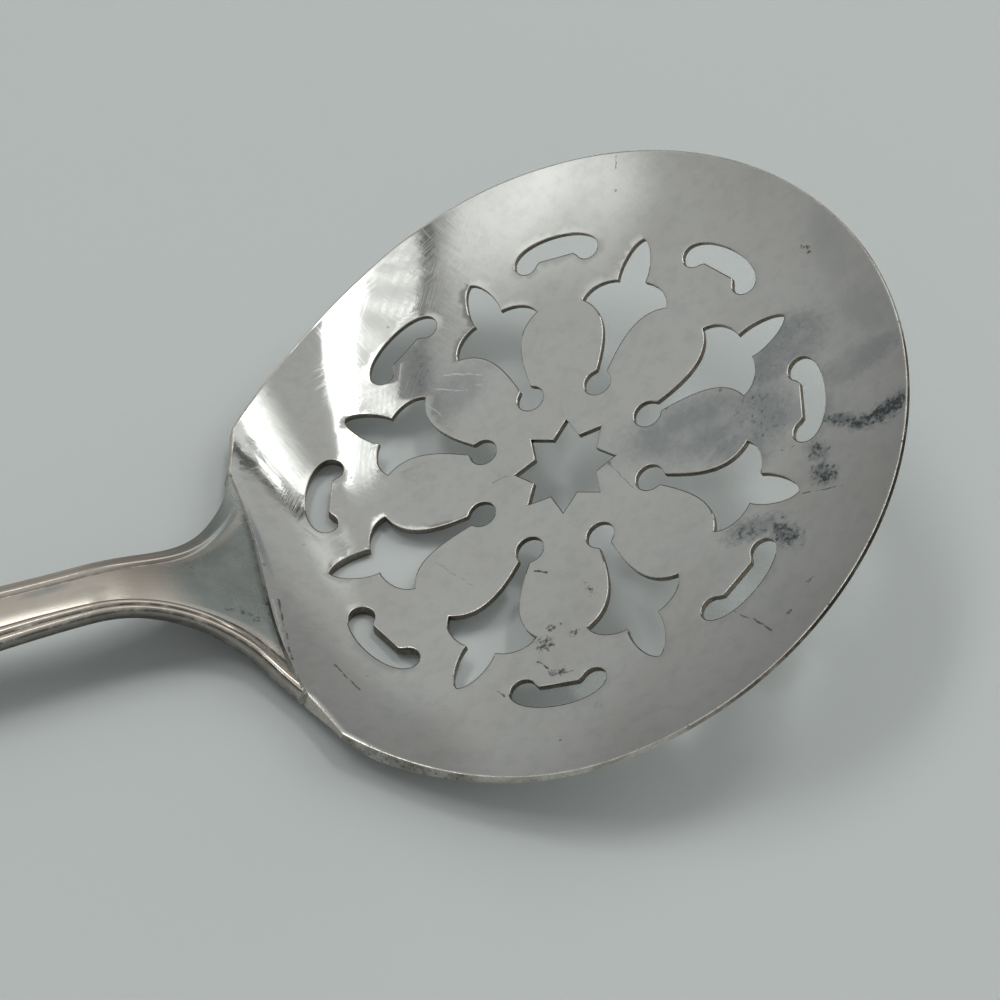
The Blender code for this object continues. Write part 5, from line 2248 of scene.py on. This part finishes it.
@dataclass
class Studio:
    """Pale table, soft lights and the camera."""

    camera_place: Triple = (0.020836, -0.117891, 0.150967)
    right: Triple = (0.940996, -0.338417, 0.0)
    down: Triple = (-0.256431, -0.713026, -0.652562)
    forward: Triple = (0.220838, 0.614058, -0.757735)
    lens: float = 66.49
    sensor: float = 36.0
    nearest: float = 0.005
    table_size: float = 6.0
    table_cells: int = 8
    table_colour: Colour = (0.460, 0.488, 0.487)
    table_lighter: float = 1.03
    table_noise: Pair = (9.0, 3.0)
    table_rough: tuple[float, float, float, float] = (0.3, 0.7, 0.55, 0.7)
    table_shine: float = 0.25
    windows: tuple[Window, ...] = (
        Window("curtain", (-0.65, 0.35), (-0.62, 1.0), (0.15, 0.66), 0.86, (0.012, 0.02), folds=True),
        Window("wide", (-0.622, 1.0), (-0.322, 0.62), (0.15, 0.625), 4.0, (0.014, 0.016), ends=0.022),
        Window("frame", (-0.655, 0.30), (-0.580, 0.18), (-0.25, 0.38), 0.15, (0.010, 0.014)),
        Window("beam", (-0.60, 0.10), (-0.79, 0.76), (0.36, 0.70), 0.25, (0.05, 0.010)),
        Window("gap", (0.36, 0.0), (0.86, 0.0), (0.812, 0.868), 0.07, (0.05, 0.05), 0.3, 0.014),
        Window("corner", (0.855, -0.6), (1.0, 0.0), (0.40, 0.806), 0.74, (0.025, 0.05), 0.3, 0.014),
        Window("side", (0.62, -0.44), (0.855, -0.6), (0.48, 0.830), 2.8, (0.20, 0.025), 0.48),
        Window("rail", (0.405, 0.0), (0.53, 0.0), (0.836, 0.872), 0.10, (0.012, 0.03), 0.48, 0.004),
        Window("slit", (0.438, 0.0), (0.525, 0.0), (0.874, 0.890), 5.5, (0.008, 0.010), 0.48, 0.004),
    )
    lamps: tuple[Lamp, ...] = (
        Lamp("key_panel", (-0.66, 1.17, 3.0), (0.0, 0.0, 0.915), (1.82, 0.47), 6.9),
        Lamp("top_panel", (1.30, 0.66, 3.0), (0.0, 0.0, 0.0), (0.42, 0.78), 20.0),
        Lamp("side_panel", (3.0, 0.93, 1.95), (0.0, math.pi / 2, 0.0), (3.3, 2.64), 2.3),
    )
    low_sky: float = 0.22
    high_sky: float = 0.42
    sky_rise: Pair = (0.2, 0.75)
    lowest_rise: float = 0.02
    overhead_rise: Pair = (0.25, 0.4)
    horizon: float = 0.44
    horizon_rise: Pair = (0.02, 0.2)
    dim_side: float = 0.26
    dim_across: Pair = (-0.05, 0.2)
    dim_rise: Pair = (0.6, 0.68)
    side_glow: float = 0.6
    side_across: Pair = (0.45, 0.75)
    side_rise: Pair = (0.05, 0.2)
    side_near: Pair = (-0.2, 0.0)
    side_far: Pair = (0.45, 0.7)
    sky_colour: Colour = (0.99, 1.0, 0.975)
    wall_glow: Glow = Glow((-0.80, 0.29), 0.42, 0.57)
    wall_edge: Pair = (-0.717, 0.444)
    wall_soft: Pair = (-0.02, 0.06)
    heel_glow: Glow = Glow((0.36, 0.78), 0.16, 0.25)

    def camera(self) -> None:
        """Camera at the photograph's viewing angle."""
        data = bpy.data.cameras.new("camera")
        data.lens, data.sensor_width, data.sensor_fit = self.lens, self.sensor, "HORIZONTAL"
        data.clip_start = self.nearest
        camera = bpy.data.objects.new("camera", data)
        axes = Matrix((self.right, -Vector(self.down), -Vector(self.forward))).transposed().to_4x4()
        camera.matrix_world = Matrix.Translation(self.camera_place) @ axes
        bpy.context.collection.objects.link(camera)
        bpy.context.scene.camera = camera

    def sky(self) -> None:
        """Plain grey surroundings with two bright windows, a curtain and a soft glow overhead."""
        world = bpy.data.worlds.new("surroundings")
        world.use_nodes = True
        sheet = NodeSheet(world.node_tree)
        ray = sheet.add("TexCoord").outputs["Generated"]
        x, y, z = sheet.add("SeparateXYZ", {0: ray}).outputs
        rise = sheet.math("MAXIMUM", z, self.lowest_rise)
        ceiling = Ceiling(sheet, sheet.math("DIVIDE", x, rise), sheet.math("DIVIDE", y, rise))
        overhead = sheet.ease(z, *self.overhead_rise)
        level = sheet.ease(z, *self.sky_rise, self.low_sky, self.high_sky)
        dim = sheet.times(sheet.ease(x, *self.dim_across), sheet.ease(z, *self.dim_rise, self.dim_side, 0.0))
        level = sheet.times(level, sheet.minus(1.0, dim))
        level = sheet.math("MAXIMUM", level, sheet.ease(z, *self.horizon_rise, self.horizon, 0.0))
        beside = sheet.ease(x, *self.side_across, 0.0, self.side_glow)
        beside = sheet.times(beside, sheet.ease(z, *self.side_rise))
        depth = sheet.times(sheet.ease(y, *self.side_near), sheet.ease(y, *self.side_far, 1.0, 0.0))
        level = sheet.plus(level, sheet.times(beside, depth))
        line = sheet.plus(sheet.times(ceiling.away, self.wall_edge[1]), self.wall_edge[0])
        edge = sheet.ease(sheet.minus(line, ceiling.across), *self.wall_soft)
        glow = sheet.times(ceiling.glow(self.wall_glow), edge)
        level = sheet.plus(level, sheet.times(glow, overhead))
        level = sheet.plus(level, ceiling.glow(self.heel_glow))
        for window in self.windows:
            mask = sheet.times(ceiling.pane(window), overhead)
            lit = sheet.times(mask, window.level)
            if window.folds:
                lit = sheet.times(lit, ceiling.folds())
            level = sheet.plus(sheet.times(level, sheet.minus(1.0, mask)), lit)
        background = world.node_tree.nodes["Background"]
        background.inputs["Color"].default_value = (*self.sky_colour, 1.0)
        sheet.feed(background.inputs["Strength"], level)
        bpy.context.scene.world = world

    def table(self) -> Piece:
        """Plain pale table top.

        Returns:
            The table's object.
        """
        bm = bmesh.new()
        cells = self.table_cells
        bmesh.ops.create_grid(bm, x_segments=cells, y_segments=cells, size=self.table_size / 2)
        mesh = bpy.data.meshes.new("table_top")
        bm.to_mesh(mesh)
        bm.free()
        table = bpy.data.objects.new("table_top", mesh)
        bpy.context.collection.objects.link(table)
        material = bpy.data.materials.new("table_paper")
        material.use_nodes = True
        sheet = NodeSheet(material.node_tree)
        vector = sheet.add("TexCoord").outputs["Object"]
        shader = material.node_tree.nodes["Principled BSDF"]
        shader.inputs["Specular IOR Level"].default_value = self.table_shine
        soft = sheet.noise(vector, *self.table_noise)
        lighter = tuple(c * self.table_lighter for c in self.table_colour)
        sheet.feed(shader.inputs["Base Color"], sheet.blend(soft, self.table_colour, lighter))
        sheet.feed(shader.inputs["Roughness"], sheet.ease(soft, *self.table_rough))
        mesh.materials.append(material)
        return table

    def build(self) -> None:
        """Sets the scene round the server."""
        bpy.context.scene.view_settings.view_transform = "Standard"
        self.camera()
        self.sky()
        for lamp in self.lamps:
            lamp.build(self.sky_colour)
        self.table()


def main() -> None:
    """Builds the studio and the server, piece by piece."""
    logging.basicConfig(level=logging.INFO)
    Studio().build()
    dish = DishForm()
    form = HandleForm(dish)
    joint = LapJoint(form)
    origin = dish.origin()
    LOG.info("pattern centre at %s", tuple(round(c, 6) for c in origin))

    def place(u: float, v: float) -> Vector:
        """Point of the blade's top face from plan millimetres."""
        return dish.point(u * MM, v * MM, 0.0) + origin

    def along(s: float, v: float) -> Vector:
        """Point of the handle's top face from millimetres along and across it."""
        return form.point(s * MM, v * MM, 0.0) + origin

    def metal(finish: PlateFinish) -> bpy.types.Material:
        """Material of a finish."""
        return PlateMaterial(finish, along if finish is HANDLE_FACE else place).build()

    side_edge, solder = metal(SIDE_EDGE), metal(SOLDER)
    blade = PiercedBlade(dish, form, joint, PiercingPattern(dish))
    threaded = ThreadedHandle(form, joint)
    edges = [metal(CUT_EDGE), metal(RIM_EDGE), metal(LIP), side_edge]
    server_blade = blade.build([metal(BLADE_FACE), metal(BLADE_BACK), *edges])
    server_handle = threaded.build([metal(HANDLE_FACE), side_edge, metal(HANDLE_BACK)])
    grow = CLEARANCE - joint.bed_gap
    bed = joint.bar("solder_bed", [solder], grow, joint.bed_depth, SolderSlot.FACE, origin)
    faces = [solder, side_edge]
    line = joint.line(lambda v: (-blade.fallen(v), threaded.face_height(v)), faces, origin)
    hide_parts("pierced_blade")
    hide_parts("handle")
    slots = ((server_blade, "plated_blade"), (server_handle, "plated_handle"),
             (bed, "plated_handle"), (line, "plated_handle"))
    for piece, slot in slots:
        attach(piece, BODY)
        LOG.info("%s: %d faces", piece.name, len(piece.data.polygons))


if __name__ == "__main__":
    main()
